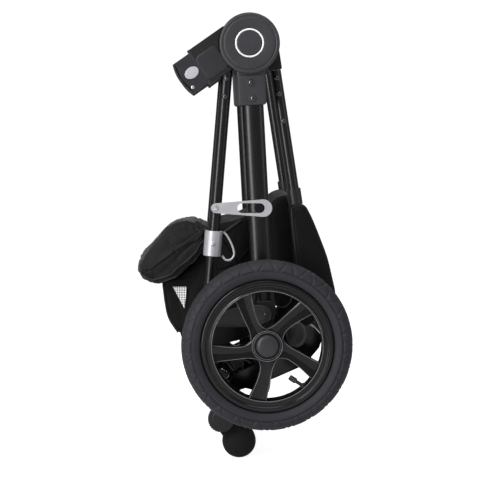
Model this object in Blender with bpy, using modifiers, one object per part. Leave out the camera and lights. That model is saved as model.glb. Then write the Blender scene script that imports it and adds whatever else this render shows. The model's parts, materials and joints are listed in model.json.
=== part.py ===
"""Folded pushchair chassis, standing upright on its handle.

Metres, +Z up. +X is the chair's front once it is unfolded, +Y is its left side and -Y its right side.
The origin lies under the middle of the folded chassis, at the height of its lowest point.
"""
import math

import bmesh
import bpy
from mathutils import Matrix, Vector

# Clearances
GAP = 0.0004            # between pieces that touch
RUNNING = 0.0006        # between a turning piece and its neighbour
LOOSE = 0.0015          # round wheels and swinging plates
CUT_PAST = 0.0100       # how far a cutter runs past what it cuts

# Hub joint, on which handle, rear legs and front legs all turn (x, z)
HUB_X = 0.0096
HUB_Z = 0.7290
HUB_CAP_R = 0.0523
HUB_CAP_STEP_R = 0.0450
HUB_CAP_OUTER = 0.2250      # outer face, from the middle plane
HUB_CAP_DEPTH = 0.0115
HUB_CAP_STEP = 0.0020
HUB_RING_R = 0.0250
HUB_RING_WIDTH = 0.0028
HUB_RING_PROUD = 0.0008
HUB_RING_SEAT = 0.0020
HUB_DISC_R = 0.0480
HUB_BOLT_R = 0.0060
HUB_BOLT_HEAD_R = 0.0120
HUB_BOLT_HEAD = 0.0060
REAR_DISC_DEPTH = 0.0270
HANDLE_DISC_DEPTH = 0.0100

# Rear legs
REAR_AXLE_X = 0.0378
REAR_AXLE_Z = 0.2149
REAR_TUBE_WIDE = 0.0380
REAR_TUBE_DEEP = 0.0240
REAR_TUBE_START = 0.0560    # from the hub centre, down the leg
REAR_TUBE_TO_AXLE = 0.0440  # left between the tube's end and the axle
COLLAR_WIDE = 0.0487
COLLAR_REACH = 0.1070
COLLAR_DEEP = 0.0300
COLLAR_CORNER = 0.0060
RIVET_R = 0.0034
RIVET_PROUD = 0.0016
AXLE_HOUSING_R = 0.0240
AXLE_HOUSING_TOP = 0.0680   # above the axle, along the leg
AXLE_HOUSING_WIDE = 0.0450
AXLE_HOUSING_DEEP = 0.0320
AXLE_HOUSING_FOOT = 0.0340  # above the axle, along the leg
AXLE_HOUSING_TAPER = 0.75
AXLE_NECK_LAP = 0.0060
AXLE_NECK_SHARE = 0.70
AXLE_NECK_HALF = 0.0200
AXLE_NECK_IN = 0.0115
AXLE_NECK_OUT = 0.0125
AXLE_BOSS_IN = 0.0120
AXLE_BOSS_OUT = 0.0220
AXLE_R = 0.0060
AXLE_IN = 0.0050            # the axle's inner end, inside the leg's middle
AXLE_PAST_HUB = 0.0010
CROSS_TUBE_R = 0.0100
CROSS_TUBE_FROM_AXLE = 0.0560

# Handle, folded down behind the rear legs
HANDLE_R = 0.0100
HANDLE_OFFSET = 0.0346      # between the hub centre and the tube's axis
HANDLE_LEAN = math.radians(4.7)
HANDLE_START = 0.0480
HANDLE_STRAIGHT = 0.4800
HANDLE_Y = 0.2000
KNUCKLE_X = -0.0395
KNUCKLE_Z = 0.0745
KNUCKLE_R = 0.0236
KNUCKLE_DEPTH = 0.0200
KNUCKLE_RIB = 0.0012
KNUCKLE_RIBS = 18
KNUCKLE_PIN_R = 0.0050
GRIP_X = -0.0075
GRIP_END_R = 0.0288
GRIP_MID_R = 0.0185
GRIP_HALF = 0.1730
GRIP_CROWN = 0.0240         # how far each end bulges past the half length
GRIP_SWELL = 0.1100         # length over which an end thins down
GRIP_ARM_WIDE = 0.0340
GRIP_ARM_DEPTH = 0.0130

# Seat adapter, carried by the handle's hub disc (along and across its own axis)
ADAPTER_ANGLE = math.radians(215)
ADAPTER_ACROSS = -0.0153
ADAPTER_SLEEVE_WIDE = 0.0695
ADAPTER_SLEEVE_END = 0.0960
ADAPTER_END_WIDE = 0.0600
ADAPTER_LENGTH = 0.1360
ADAPTER_CROWN = 0.0060      # how far the end bulges
ADAPTER_DEEP = 0.0250
ADAPTER_TONGUE = 0.0200
ADAPTER_TONGUE_WIDE = 0.0400
ADAPTER_TONGUE_DEEP = 0.0140
BUTTON_ALONG = 0.1105
BUTTON_LONG = 0.0270
BUTTON_SHORT = 0.0200
BUTTON_PROUD = 0.0022
BUTTON_TRAVEL = 0.0030
BUTTON_DEEP = 0.0060

# Front legs
FRONT_R = 0.0100
FRONT_OFFSET = 0.0390
FRONT_LEAN = math.radians(8.8)
FRONT_START = 0.0520
FRONT_LENGTH = 0.2900
FRONT_Y = 0.1640
SOCKET_WIDE = 0.0240
COVER_DEEP = 0.0380
COVER_EDGE = 0.0060
COVER_IN = 0.0010           # the cover's middle, towards the middle plane from the tube's axis
COVER_FRONT = [
    (0.0790, 0.4480), (0.1090, 0.4460), (0.1220, 0.4180), (0.1340, 0.3870), (0.1456, 0.3550),
    (0.1540, 0.3210), (0.1610, 0.2900), (0.1560, 0.2680), (0.1400, 0.2520),
]
COVER_BACK = [(0.0985, 0.2800), (0.0950, 0.3150), (0.0908, 0.3470), (0.0834, 0.3960)]
FOOT_TUBE_R = 0.0080
FOOT_TUBE_X = 0.1230
FOOT_TUBE_Z = 0.3300

# Casters
SWIVEL_X = 0.0945
SWIVEL_Z = 0.2240
SWIVEL_ANGLE = math.radians(241)
SWIVEL_TOP = -0.0220        # the leg's lower face, along the swivel axis
SWIVEL_BOSS_R = 0.0190
SWIVEL_STEM_R = 0.0050
SWIVEL_STEM_UP = 0.0240
SWIVEL_STEM_DOWN = 0.0120
CASTER_Y = 0.1550
FRONT_AXLE_X = -0.0106
FRONT_AXLE_Z = 0.1344
FRONT_WHEEL_R = 0.0600
FRONT_TYRE_WIDE = 0.0320
FRONT_RIM_R = 0.0450
FRONT_HUB_R = 0.0130
FRONT_AXLE_R = 0.0040
FRONT_AXLE_HEAD_R = 0.0075
FRONT_AXLE_HEAD = 0.0025
FORK_LEG = 0.0060
FORK_LIP = 0.0060
FORK_OUTLINE = [
    (0.1400, 0.2150), (0.1340, 0.1960), (0.1180, 0.1770), (0.0970, 0.1600), (0.0560, 0.1420),
    (-0.0060, 0.1210), (-0.0190, 0.1230), (-0.0246, 0.1350), (-0.0180, 0.1470), (0.0350, 0.1740),
    (0.0660, 0.2030),
]
FORK_DOME = (0.0180, 0.0080, 0.0215)

# Section shared by all tyres, as shares of its half width or its height
TREAD_CROWN = 0.78
SHOULDER_SHARE = 0.30
WALL_SHARE = 0.97
BEAD_SHARE = 0.72
TREAD_STEPS = 6

# Rear wheels
REAR_WHEEL_R = 0.1462
REAR_TYRE_Y = 0.2760
REAR_TYRE_WIDE = 0.0460
REAR_BEAD_R = 0.1139
REAR_RIM_INNER_R = 0.0935
REAR_RIM_WIDE = 0.0360
REAR_WHEEL_HUB_R = 0.0240
REAR_HUB_INNER_FACE = 0.0240    # from the wheel's middle plane, towards the leg
REAR_HUB_OUTER_FACE = 0.0160
SPOKES = 5
SPOKE_FIRST = math.radians(44)
SPOKE_MID_WIDE = 0.0190
SPOKE_ROOT_WIDE = 0.0300
SPOKE_DEEP = 0.0140
WHEEL_CAP_R = 0.0195
CAP_SEAT = 0.0085           # outwards from the wheel's middle plane
VALVE_ANGLE = math.radians(-38)
VALVE_R = 0.0032
VALVE_LONG = 0.0220

# Latch between handle and rear leg, on the right side
LATCH_DROP = 0.2880         # below the hub centre
LATCH_LONG = 0.0823
LATCH_SMALL_R = 0.0085
LATCH_LARGE_R = 0.0152
LATCH_THICK = 0.0025
LATCH_PLANE = 0.2150
LATCH_SLOT_START = 0.0371
LATCH_SLOT_END = 0.0846
LATCH_SLOT_R = 0.0085
STUD_R = 0.0070
STUD_FROM_PIN = 0.0737
STUD_IN = 0.0040            # how far it reaches into the tube's curved side

# Saddle clip on the handle, with its wire loop
CLIP_DROP = 0.3500
CLIP_LONG = 0.0440
CLIP_WALL = 0.0020
CLIP_R = 0.0135
WIRE_R = 0.0019

WIRE_FACE = 0.1990          # from the middle plane
WIRE_ROUTE = [
    (-0.0351, 0.4020), (-0.0290, 0.3960), (-0.0205, 0.3800), (-0.0165, 0.3640), (-0.0220, 0.3545),
    (-0.0310, 0.3535), (-0.0376, 0.3610),
]

# Soft parts: outlines (x, z) and half widths
BASKET_HALF = 0.1220
BASKET_REST = 0.0120        # half of the width that lies over the cross tube
BASKET_FLOOR = [
    (-0.1410, 0.3095), (-0.1360, 0.2700), (-0.1290, 0.2420), (-0.1130, 0.2160), (-0.0900, 0.2160),
    (-0.0600, 0.2620), (-0.0200, 0.2850),
]
BASKET_TOP = [
    (0.0600, 0.3000), (0.0700, 0.4200), (0.0200, 0.4300), (-0.0400, 0.4250), (-0.0585, 0.4035),
    (-0.0585, 0.3845), (-0.0843, 0.3490), (-0.1145, 0.3207), (-0.1380, 0.3100),
]
BUNDLE_HALF = 0.1640
BUNDLE_EDGE = 0.0060
BUNDLE_OUTLINE = [
    (-0.1856, 0.3370), (-0.1760, 0.3160), (-0.1590, 0.3080), (-0.1380, 0.3110), (-0.1150, 0.3220),
    (-0.0850, 0.3500), (-0.0600, 0.3850), (-0.0600, 0.4040), (-0.0705, 0.4120), (-0.0860, 0.4180),
    (-0.1070, 0.4180), (-0.1300, 0.4090), (-0.1490, 0.3890), (-0.1700, 0.3610),
]

# Brake pedal on the rear cross tube
PEDAL_WIDE = 0.0560
PEDAL_LONG = 0.0480
PEDAL_THICK = 0.0050
PEDAL_SLEEVE = 0.0040

SIDES = {"right": -1, "left": 1}
ROUND = 28                  # facets round a large turned piece
FINE = 12                   # facets round a small one
OVAL_FACETS = 20


def new_collection(name):
    """A collection under the scene's own."""
    collection = bpy.data.collections.new(name)
    bpy.context.scene.collection.children.link(collection)
    return collection


def new_material(name, colour, roughness, metallic=0.0):
    """A plain Principled material."""
    material = bpy.data.materials.new(name)
    material.use_nodes = True
    shader = material.node_tree.nodes["Principled BSDF"]
    shader.inputs["Base Color"].default_value = (*colour, 1.0)
    shader.inputs["Roughness"].default_value = roughness
    shader.inputs["Metallic"].default_value = metallic
    return material


for old in list(bpy.data.objects):
    bpy.data.objects.remove(old, do_unlink=True)

PARTS = new_collection("pushchair_chassis")
CUTTERS = new_collection("cutters")

FINISHES = {
    "hub_plastic": ((0.045, 0.043, 0.048), 0.45, 0.0),
    "black_plastic": ((0.020, 0.019, 0.020), 0.40, 0.0),
    "black_paint": ((0.012, 0.012, 0.013), 0.18, 0.3),
    "silver": ((0.46, 0.46, 0.48), 0.35, 1.0),
    "button_grey": ((0.50, 0.49, 0.52), 0.40, 0.0),
    "rubber": ((0.040, 0.039, 0.048), 0.75, 0.0),
    "rim_plastic": ((0.014, 0.014, 0.015), 0.25, 0.0),
    "cloth": ((0.026, 0.024, 0.026), 0.85, 0.0),
    "foam": ((0.012, 0.011, 0.011), 0.80, 0.0),
    "steel": ((0.40, 0.40, 0.42), 0.30, 1.0),
}


def keep(obj, finish):
    """Puts an object in the model's collection with a material of its own."""
    PARTS.objects.link(obj)
    obj.data.materials.clear()
    obj.data.materials.append(new_material(obj.name, *FINISHES[finish]))
    return obj


def mesh_object(name, mesh, place=None):
    """An object that isn't in any collection yet."""
    obj = bpy.data.objects.new(name, mesh)
    if place is not None:
        obj.matrix_world = place
    return obj


def from_bmesh(name, shape, place=None, smooth=40):
    """Turns a bmesh into an object, with its round sides shaded smooth."""
    bmesh.ops.recalc_face_normals(shape, faces=shape.faces)
    mesh = bpy.data.meshes.new(name)
    shape.to_mesh(mesh)
    shape.free()
    mesh.shade_smooth()
    mesh.set_sharp_from_angle(angle=math.radians(smooth))
    return mesh_object(name, mesh, place)


def facing_side(x, y, z, side):
    """A frame at a point whose local Z points outwards from the middle plane."""
    turn = Matrix.Rotation(math.pi / 2 if side < 0 else -math.pi / 2, 4, "X")
    return Matrix.Translation((x, y, z)) @ turn


def cylinder(name, x, z, radius, y_from, y_to, facets=FINE, top_radius=None):
    """A round bar along Y; top_radius is its radius at y_to."""
    shape = bmesh.new()
    length = abs(y_to - y_from)
    bmesh.ops.create_cone(
        shape, cap_ends=True, segments=facets, radius1=radius,
        radius2=radius if top_radius is None else top_radius, depth=length,
    )
    place = facing_side(x, (y_from + y_to) / 2, z, 1 if y_to > y_from else -1)
    return from_bmesh(name, shape, place)


def bar_between(name, start, end, radius, facets=FINE):
    """A round bar between two points in space."""
    start = Vector(start)
    end = Vector(end)
    shape = bmesh.new()
    bmesh.ops.create_cone(
        shape, cap_ends=True, segments=facets, radius1=radius, radius2=radius, depth=(end - start).length,
    )
    turn = (end - start).to_track_quat("Z", "Y").to_matrix().to_4x4()
    return from_bmesh(name, shape, Matrix.Translation((start + end) / 2) @ turn)


def curve_mesh(name, curve, place):
    """The mesh of a curve, with its loose caps welded."""
    source = bpy.data.objects.new(name + "_curve", curve)
    source.matrix_world = place
    bpy.context.scene.collection.objects.link(source)
    bpy.context.view_layer.update()
    evaluated = source.evaluated_get(bpy.context.evaluated_depsgraph_get())
    mesh = bpy.data.meshes.new_from_object(evaluated)
    bpy.data.objects.remove(source, do_unlink=True)
    shape = bmesh.new()
    shape.from_mesh(mesh)
    bmesh.ops.remove_doubles(shape, verts=shape.verts, dist=0.00001)
    bmesh.ops.recalc_face_normals(shape, faces=shape.faces)
    shape.to_mesh(mesh)
    shape.free()
    mesh.shade_smooth()
    mesh.set_sharp_from_angle(angle=math.radians(40))
    return mesh_object(name, mesh, place)


def plate(name, loops, y_from, y_to, edge=0.0):
    """A flat piece in the XZ plane; the first loop is its outline and the others are its holes."""
    curve = bpy.data.curves.new(name, "CURVE")
    curve.dimensions = "2D"
    curve.fill_mode = "BOTH"
    curve.extrude = abs(y_to - y_from) / 2
    for loop in loops:
        spline = curve.splines.new("POLY")
        spline.points.add(len(loop) - 1)
        spline.use_cyclic_u = True
        for point, (x, z) in zip(spline.points, loop):
            point.co = (x, z, 0, 1)
    place = facing_side(0, (y_from + y_to) / 2, 0, -1)
    obj = curve_mesh(name, curve, place)
    if edge:
        bevel = obj.modifiers.new("rounded_edges", "BEVEL")
        bevel.width = edge
        bevel.segments = 1
        bevel.limit_method = "ANGLE"
        bevel.angle_limit = math.radians(50)
    return obj


def tube(name, points, radius, sides=3):
    """A tube along points in space, with closed ends."""
    curve = bpy.data.curves.new(name, "CURVE")
    curve.dimensions = "3D"
    curve.bevel_depth = radius
    curve.bevel_resolution = sides
    curve.use_fill_caps = True
    spline = curve.splines.new("POLY")
    spline.points.add(len(points) - 1)
    for point, (x, y, z) in zip(spline.points, points):
        point.co = (x, y, z, 1)
    return curve_mesh(name, curve, Matrix.Identity(4))


def turned(name, profile, place, facets=ROUND, closed=False):
    """A profile of (radius, height) turned about its local Z axis."""
    shape = bmesh.new()
    points = [shape.verts.new((radius, 0, height)) for radius, height in profile]
    for first, second in zip(points, points[1:]):
        shape.edges.new((first, second))
    if closed:
        shape.edges.new((points[-1], points[0]))
    bmesh.ops.spin(
        shape, geom=shape.verts[:] + shape.edges[:], cent=(0, 0, 0), axis=(0, 0, 1),
        angle=2 * math.pi, steps=facets, use_merge=True,
    )
    bmesh.ops.remove_doubles(shape, verts=shape.verts, dist=0.000001)
    return from_bmesh(name, shape, place)


def boolean(obj, others, operation):
    """Cuts the others from an object or joins them to it."""
    for other in others:
        other.hide_render = True
        other.display_type = "WIRE"
        CUTTERS.objects.link(other)
        step = obj.modifiers.new(operation.lower(), "BOOLEAN")
        step.operation = operation
        step.solver = "EXACT"
        step.object = other
    return obj


def cut(obj, *others):
    """Takes the others out of an object."""
    return boolean(obj, others, "DIFFERENCE")


def join(obj, *others):
    """Makes one body of an object and the others."""
    return boolean(obj, others, "UNION")


def arc(x, z, radius, start, end, steps):
    """Points on an arc, angles in radians from +X towards +Z."""
    return [
        (x + radius * math.cos(start + (end - start) * i / steps),
         z + radius * math.sin(start + (end - start) * i / steps))
        for i in range(steps + 1)
    ]


def circle(x, z, radius, steps=ROUND):
    """A closed round loop."""
    return arc(x, z, radius, 0, 2 * math.pi * (steps - 1) / steps, steps - 1)


def oval(x, z, half_long, half_short, angle, steps=FINE):
    """A closed oval loop with its long axis at an angle."""
    points = []
    for i in range(steps):
        turn = 2 * math.pi * i / steps
        along = half_long * math.cos(turn)
        across = half_short * math.sin(turn)
        points.append((
            x + along * math.cos(angle) - across * math.sin(angle),
            z + along * math.sin(angle) + across * math.cos(angle),
        ))
    return points


def rounded(corners, radius, steps=3):
    """A closed loop whose corners are rounded, each by at most a third of its shorter side."""
    loop = []
    count = len(corners)
    for i in range(count):
        corner = Vector(corners[i])
        before = Vector(corners[i - 1]) - corner
        after = Vector(corners[(i + 1) % count]) - corner
        half = before.angle(after) / 2
        reach = min(radius / math.tan(half), before.length / 3, after.length / 3)
        start = corner + before.normalized() * reach
        end = corner + after.normalized() * reach
        for j in range(steps + 1):
            t = j / steps
            point = start * (1 - t) ** 2 + corner * 2 * t * (1 - t) + end * t ** 2
            loop.append((point.x, point.y))
    return loop


def smooth_path(knots, steps=6):
    """Points on a smooth curve through the knots, ends included."""
    points = [Vector(knot) for knot in knots]
    points = [points[0] * 2 - points[1]] + points + [points[-1] * 2 - points[-2]]
    path = []
    for i in range(1, len(points) - 2):
        a, b, c, d = points[i - 1:i + 3]
        for j in range(steps):
            t = j / steps
            path.append(0.5 * (
                2 * b + (c - a) * t + (2 * a - 5 * b + 4 * c - d) * t ** 2
                + (3 * b - a - 3 * c + d) * t ** 3
            ))
    path.append(points[-2])
    return [tuple(point) for point in path]


def along(x, z, angle, distance, across=0.0):
    """The point at a distance along a direction, and across it to its left."""
    return (
        x + distance * math.cos(angle) - across * math.sin(angle),
        z + distance * math.sin(angle) + across * math.cos(angle),
    )


# Directions of the three legs at the hub, pointing down
REAR_ANGLE = math.atan2(REAR_AXLE_Z - HUB_Z, REAR_AXLE_X - HUB_X)
REAR_LENGTH = math.hypot(REAR_AXLE_Z - HUB_Z, REAR_AXLE_X - HUB_X)
HANDLE_ANGLE = -math.pi / 2 - HANDLE_LEAN
FRONT_ANGLE = -math.pi / 2 + FRONT_LEAN

# Planes of the hub's discs, outer faces and inner faces, from the middle plane
CAP_INNER = HUB_CAP_OUTER - HUB_CAP_DEPTH
REAR_OUTER = CAP_INNER - GAP
REAR_INNER = REAR_OUTER - REAR_DISC_DEPTH
HANDLE_OUTER = REAR_INNER - RUNNING
HANDLE_INNER = HANDLE_OUTER - HANDLE_DISC_DEPTH
FRONT_INNER = FRONT_Y - FRONT_R
LEG_Y = (REAR_OUTER + REAR_INNER) / 2


def on_rear(distance, across=0.0):
    """A point on a rear leg's axis, measured from the hub."""
    return along(HUB_X, HUB_Z, REAR_ANGLE, distance, across)


def on_handle(distance, across=0.0):
    """A point on the handle tube's axis, measured from its nearest point to the hub."""
    return along(HUB_X, HUB_Z, HANDLE_ANGLE, distance, across - HANDLE_OFFSET)


def on_front(distance, across=0.0):
    """A point on a front tube's axis, measured from its nearest point to the hub."""
    return along(HUB_X, HUB_Z, FRONT_ANGLE, distance, across + FRONT_OFFSET)


def on_adapter(distance, across=0.0):
    """A point on the seat adapter's axis, measured from the hub."""
    return along(HUB_X, HUB_Z, ADAPTER_ANGLE, distance, across + ADAPTER_ACROSS)


def on_swivel(distance, across=0.0):
    """A point on the caster's swivel axis, positive towards the floor in use."""
    return along(SWIVEL_X, SWIVEL_Z, SWIVEL_ANGLE, distance, across)


def oval_bar(label, side, first, last, extra):
    """A bar of the rear leg's oval section, between two distances down the leg."""
    loop = oval(0, 0, REAR_TUBE_WIDE / 2 + extra, REAR_TUBE_DEEP / 2 + extra, 0, OVAL_FACETS)
    shape = bmesh.new()
    for height in (0, last - first):
        for across, deep in loop:
            shape.verts.new((across, deep, height))
    shape.verts.ensure_lookup_table()
    count = len(loop)
    shape.faces.new(shape.verts[:count])
    shape.faces.new(shape.verts[count:])
    for i in range(count):
        j = (i + 1) % count
        shape.faces.new([shape.verts[k] for k in (i, j, count + j, count + i)])
    down = Vector((math.cos(REAR_ANGLE), 0, math.sin(REAR_ANGLE)))
    across = Vector((-math.sin(REAR_ANGLE), 0, math.cos(REAR_ANGLE)))
    turn = Matrix((across, down.cross(across), down)).transposed().to_4x4()
    x, z = on_rear(first)
    return from_bmesh(label, shape, Matrix.Translation((x, side * LEG_Y, z)) @ turn)


def make_hub(name, side):
    """Cap with a step, silver ring, dished centre and the bolt that the leg discs turn on."""
    outer = side * HUB_CAP_OUTER
    face = HUB_CAP_DEPTH - HUB_CAP_STEP
    profile = [
        (0, 0), (HUB_CAP_R - 0.002, 0), (HUB_CAP_R, 0.002), (HUB_CAP_R, face - 0.002),
        (HUB_CAP_R - 0.002, face), (HUB_CAP_STEP_R, face), (HUB_CAP_STEP_R - 0.002, HUB_CAP_DEPTH),
        (HUB_RING_R + GAP, HUB_CAP_DEPTH), (HUB_RING_R + GAP, HUB_CAP_DEPTH - HUB_RING_SEAT),
        (0, HUB_CAP_DEPTH - HUB_RING_SEAT),
    ]
    cap = turned("hub_cap_" + name, profile, facing_side(HUB_X, side * CAP_INNER, HUB_Z, side), 32)
    keep(cap, "hub_plastic")
    ring_inner = HUB_RING_R - HUB_RING_WIDTH
    base = GAP
    top = HUB_RING_SEAT + HUB_RING_PROUD
    seat = facing_side(HUB_X, outer - side * HUB_RING_SEAT, HUB_Z, side)
    ring = turned("hub_ring_" + name, [(ring_inner, base), (HUB_RING_R, base), (HUB_RING_R, top),
                                       (ring_inner, top)], seat, ROUND, closed=True)
    keep(ring, "silver")
    centre_r = ring_inner - GAP
    centre = turned("hub_centre_" + name, [(0, base), (centre_r, base), (centre_r, top - 0.0006),
                                           (centre_r * 0.6, top - 0.0002), (0, top)], seat)
    keep(centre, "hub_plastic")
    inner = FRONT_INNER - RUNNING
    shank = cylinder("hub_bolt_" + name, HUB_X, HUB_Z, HUB_BOLT_R, side * (inner - 0.001),
                     side * (REAR_INNER - GAP))
    head = cylinder("hub_bolt_head_" + name, HUB_X, HUB_Z, HUB_BOLT_HEAD_R, side * (inner - HUB_BOLT_HEAD),
                    side * inner, 6)
    keep(join(shank, head), "steel")


def make_rear_leg(name, side):
    """Hub socket with its collar, and the oval tube, of one rear leg."""
    disc = plate("rear_socket_" + name, [circle(HUB_X, HUB_Z, HUB_DISC_R, 32)], side * REAR_INNER,
                 side * REAR_OUTER)
    half = COLLAR_WIDE / 2
    corners = [on_rear(0, half), on_rear(COLLAR_REACH, half), on_rear(COLLAR_REACH, -half), on_rear(0, -half)]
    collar = plate("rear_collar_" + name, [rounded(corners, COLLAR_CORNER)],
                   side * (LEG_Y - COLLAR_DEEP / 2), side * (LEG_Y + COLLAR_DEEP / 2), 0.002)
    clear = cylinder("rear_collar_clear_" + name, HUB_X, HUB_Z, HUB_CAP_R + GAP, side * REAR_OUTER,
                     side * (HUB_CAP_OUTER + GAP), 32)
    back = cylinder("rear_collar_back_" + name, HUB_X, HUB_Z, HUB_CAP_R + LOOSE, side * (REAR_INNER - 0.02),
                    side * REAR_INNER, 32)
    join(disc, cut(collar, clear, back))
    bore = oval_bar("rear_socket_bore_" + name, side, REAR_TUBE_START - GAP, COLLAR_REACH + CUT_PAST, GAP)
    keep(cut(disc, bore), "hub_plastic")
    keep(oval_bar("rear_tube_" + name, side, REAR_TUBE_START, REAR_LENGTH - REAR_TUBE_TO_AXLE, 0), "black_paint")


def make_axle_housing(name, side):
    """Housing at the foot of one rear leg, and the stub axle in it."""
    top = REAR_LENGTH - AXLE_HOUSING_TOP
    foot = REAR_LENGTH - AXLE_HOUSING_FOOT
    wide = AXLE_HOUSING_WIDE / 2
    narrow = wide * AXLE_HOUSING_TAPER
    outline = rounded([on_rear(top, wide), on_rear(top, -wide), on_rear(foot, -narrow), on_rear(foot, narrow)], 0.012)
    housing = plate("axle_housing_" + name, [outline], side * (LEG_Y - AXLE_HOUSING_DEEP / 2),
                    side * (LEG_Y + AXLE_HOUSING_DEEP / 2), 0.002)
    boss = cylinder("axle_boss_" + name, REAR_AXLE_X, REAR_AXLE_Z, AXLE_HOUSING_R,
                    side * (LEG_Y - AXLE_BOSS_IN), side * (LEG_Y + AXLE_BOSS_OUT), ROUND)
    neck_top = foot - AXLE_NECK_LAP
    neck_wide = wide * AXLE_NECK_SHARE
    neck = plate("axle_neck_" + name, [rounded([on_rear(neck_top, neck_wide), on_rear(neck_top, -neck_wide),
                                                on_rear(REAR_LENGTH, -AXLE_NECK_HALF),
                                                on_rear(REAR_LENGTH, AXLE_NECK_HALF)], 0.002)],
                 side * (LEG_Y - AXLE_NECK_IN), side * (LEG_Y + AXLE_NECK_OUT))
    join(housing, boss, neck)
    bore = cylinder("axle_bore_" + name, REAR_AXLE_X, REAR_AXLE_Z, AXLE_R + GAP, side * (LEG_Y - AXLE_IN),
                    side * (LEG_Y + AXLE_BOSS_OUT + CUT_PAST))
    pocket = oval_bar("axle_housing_bore_" + name, side, top - CUT_PAST, REAR_LENGTH - REAR_TUBE_TO_AXLE + GAP, GAP)
    keep(cut(housing, bore, pocket), "black_plastic")
    axle = cylinder("rear_axle_" + name, REAR_AXLE_X, REAR_AXLE_Z, AXLE_R, side * (LEG_Y - AXLE_IN + GAP),
                    side * (REAR_TYRE_Y + REAR_HUB_OUTER_FACE + AXLE_PAST_HUB))
    keep(axle, "steel")


def make_handle_joint(name, side):
    """Hub disc of the handle, with the socket of its tube and the arm of the seat adapter."""
    joint = plate("handle_joint_" + name, [circle(HUB_X, HUB_Z, HUB_DISC_R, 32)], side * HANDLE_INNER,
                  side * HANDLE_OUTER)
    half = SOCKET_WIDE / 2
    socket = plate("handle_socket_" + name, [rounded([on_handle(0.012, half), on_handle(HANDLE_START - GAP, half),
                                                      on_handle(HANDLE_START - GAP, -half),
                                                      on_handle(0.012, -half)], 0.002)],
                   side * (HANDLE_INNER + 0.0003), side * (HANDLE_Y + 0.0125))
    wide = ADAPTER_SLEEVE_WIDE / 2
    sleeve = plate("adapter_sleeve_" + name, [rounded([on_adapter(0.012, -wide), on_adapter(ADAPTER_SLEEVE_END, -wide),
                                                       on_adapter(ADAPTER_SLEEVE_END, wide),
                                                       on_adapter(0.012, wide)], 0.003)],
                   side * (HANDLE_INNER + 0.0006), side * (LEG_Y + ADAPTER_DEEP / 2))
    hollow = cylinder("handle_joint_hollow_" + name, HUB_X, HUB_Z, HUB_CAP_R + LOOSE, side * HANDLE_OUTER,
                      side * (HUB_CAP_OUTER + 0.01), 32)
    collar_wide = COLLAR_WIDE / 2 + LOOSE
    notch = plate("handle_joint_notch_" + name, [[on_rear(0, collar_wide), on_rear(0.12, collar_wide),
                                                  on_rear(0.12, -collar_wide), on_rear(0, -collar_wide)]],
                  side * HANDLE_OUTER, side * (HUB_CAP_OUTER + 0.01))
    tongue_wide = ADAPTER_TONGUE_WIDE / 2 + GAP
    tongue = plate("adapter_tongue_slot_" + name, [[on_adapter(ADAPTER_SLEEVE_END - ADAPTER_TONGUE, -tongue_wide),
                                                    on_adapter(ADAPTER_SLEEVE_END + 0.01, -tongue_wide),
                                                    on_adapter(ADAPTER_SLEEVE_END + 0.01, tongue_wide),
                                                    on_adapter(ADAPTER_SLEEVE_END - ADAPTER_TONGUE, tongue_wide)]],
                   side * (LEG_Y - ADAPTER_TONGUE_DEEP / 2 - GAP), side * (LEG_Y + ADAPTER_TONGUE_DEEP / 2 + GAP))
    bore = cylinder("handle_joint_bore_" + name, HUB_X, HUB_Z, HUB_BOLT_R + RUNNING, side * (HANDLE_INNER - 0.01),
                    side * (HANDLE_OUTER + 0.001))
    space_from = on_handle(HANDLE_START - GAP)
    space_to = on_handle(HANDLE_START + 0.1)
    tube_space = bar_between("handle_joint_tube_space_" + name, (space_from[0], side * HANDLE_Y, space_from[1]),
                             (space_to[0], side * HANDLE_Y, space_to[1]), HANDLE_R + GAP * 1.5, 16)
    join(joint, socket, sleeve)
    keep(cut(joint, hollow, notch, tongue, bore, tube_space), "black_plastic")


def make_adapter(name, side):
    """End piece of the seat adapter and the button that releases the seat."""
    half = ADAPTER_END_WIDE / 2
    start = ADAPTER_SLEEVE_END + GAP
    flat_end = ADAPTER_LENGTH - ADAPTER_CROWN
    outline = [on_adapter(start, -half), on_adapter(flat_end, -half)]
    for i in range(1, 8):
        across = -half + ADAPTER_END_WIDE * i / 8
        bulge = ADAPTER_CROWN * (1 - (across / half) ** 2)
        outline.append(on_adapter(flat_end + bulge, across))
    outline += [on_adapter(flat_end, half), on_adapter(start, half)]
    deep = ADAPTER_DEEP / 2
    end = plate("adapter_end_" + name, [outline], side * (LEG_Y - deep), side * (LEG_Y + deep), 0.002)
    tongue_wide = ADAPTER_TONGUE_WIDE / 2
    first = ADAPTER_SLEEVE_END - ADAPTER_TONGUE + GAP
    tongue = plate("adapter_tongue_" + name, [[on_adapter(first, -tongue_wide), on_adapter(start + 0.006, -tongue_wide),
                                               on_adapter(start + 0.006, tongue_wide), on_adapter(first, tongue_wide)]],
                   side * (LEG_Y - ADAPTER_TONGUE_DEEP / 2), side * (LEG_Y + ADAPTER_TONGUE_DEEP / 2))
    join(end, tongue)
    x, z = on_adapter(BUTTON_ALONG)
    floor = LEG_Y + deep - BUTTON_DEEP - BUTTON_TRAVEL
    pocket = plate("adapter_button_pocket_" + name, [oval(x, z, BUTTON_LONG / 2 + RUNNING, BUTTON_SHORT / 2 + RUNNING,
                                                          ADAPTER_ANGLE, 18)],
                   side * floor, side * (LEG_Y + deep + CUT_PAST))
    cut(end, pocket)
    keep(end, "black_plastic")
    button = plate("adapter_button_" + name, [oval(x, z, BUTTON_LONG / 2, BUTTON_SHORT / 2, ADAPTER_ANGLE, 18)],
                   side * (floor + BUTTON_TRAVEL + GAP), side * (LEG_Y + deep + BUTTON_PROUD), 0.0008)
    keep(button, "button_grey")


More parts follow.
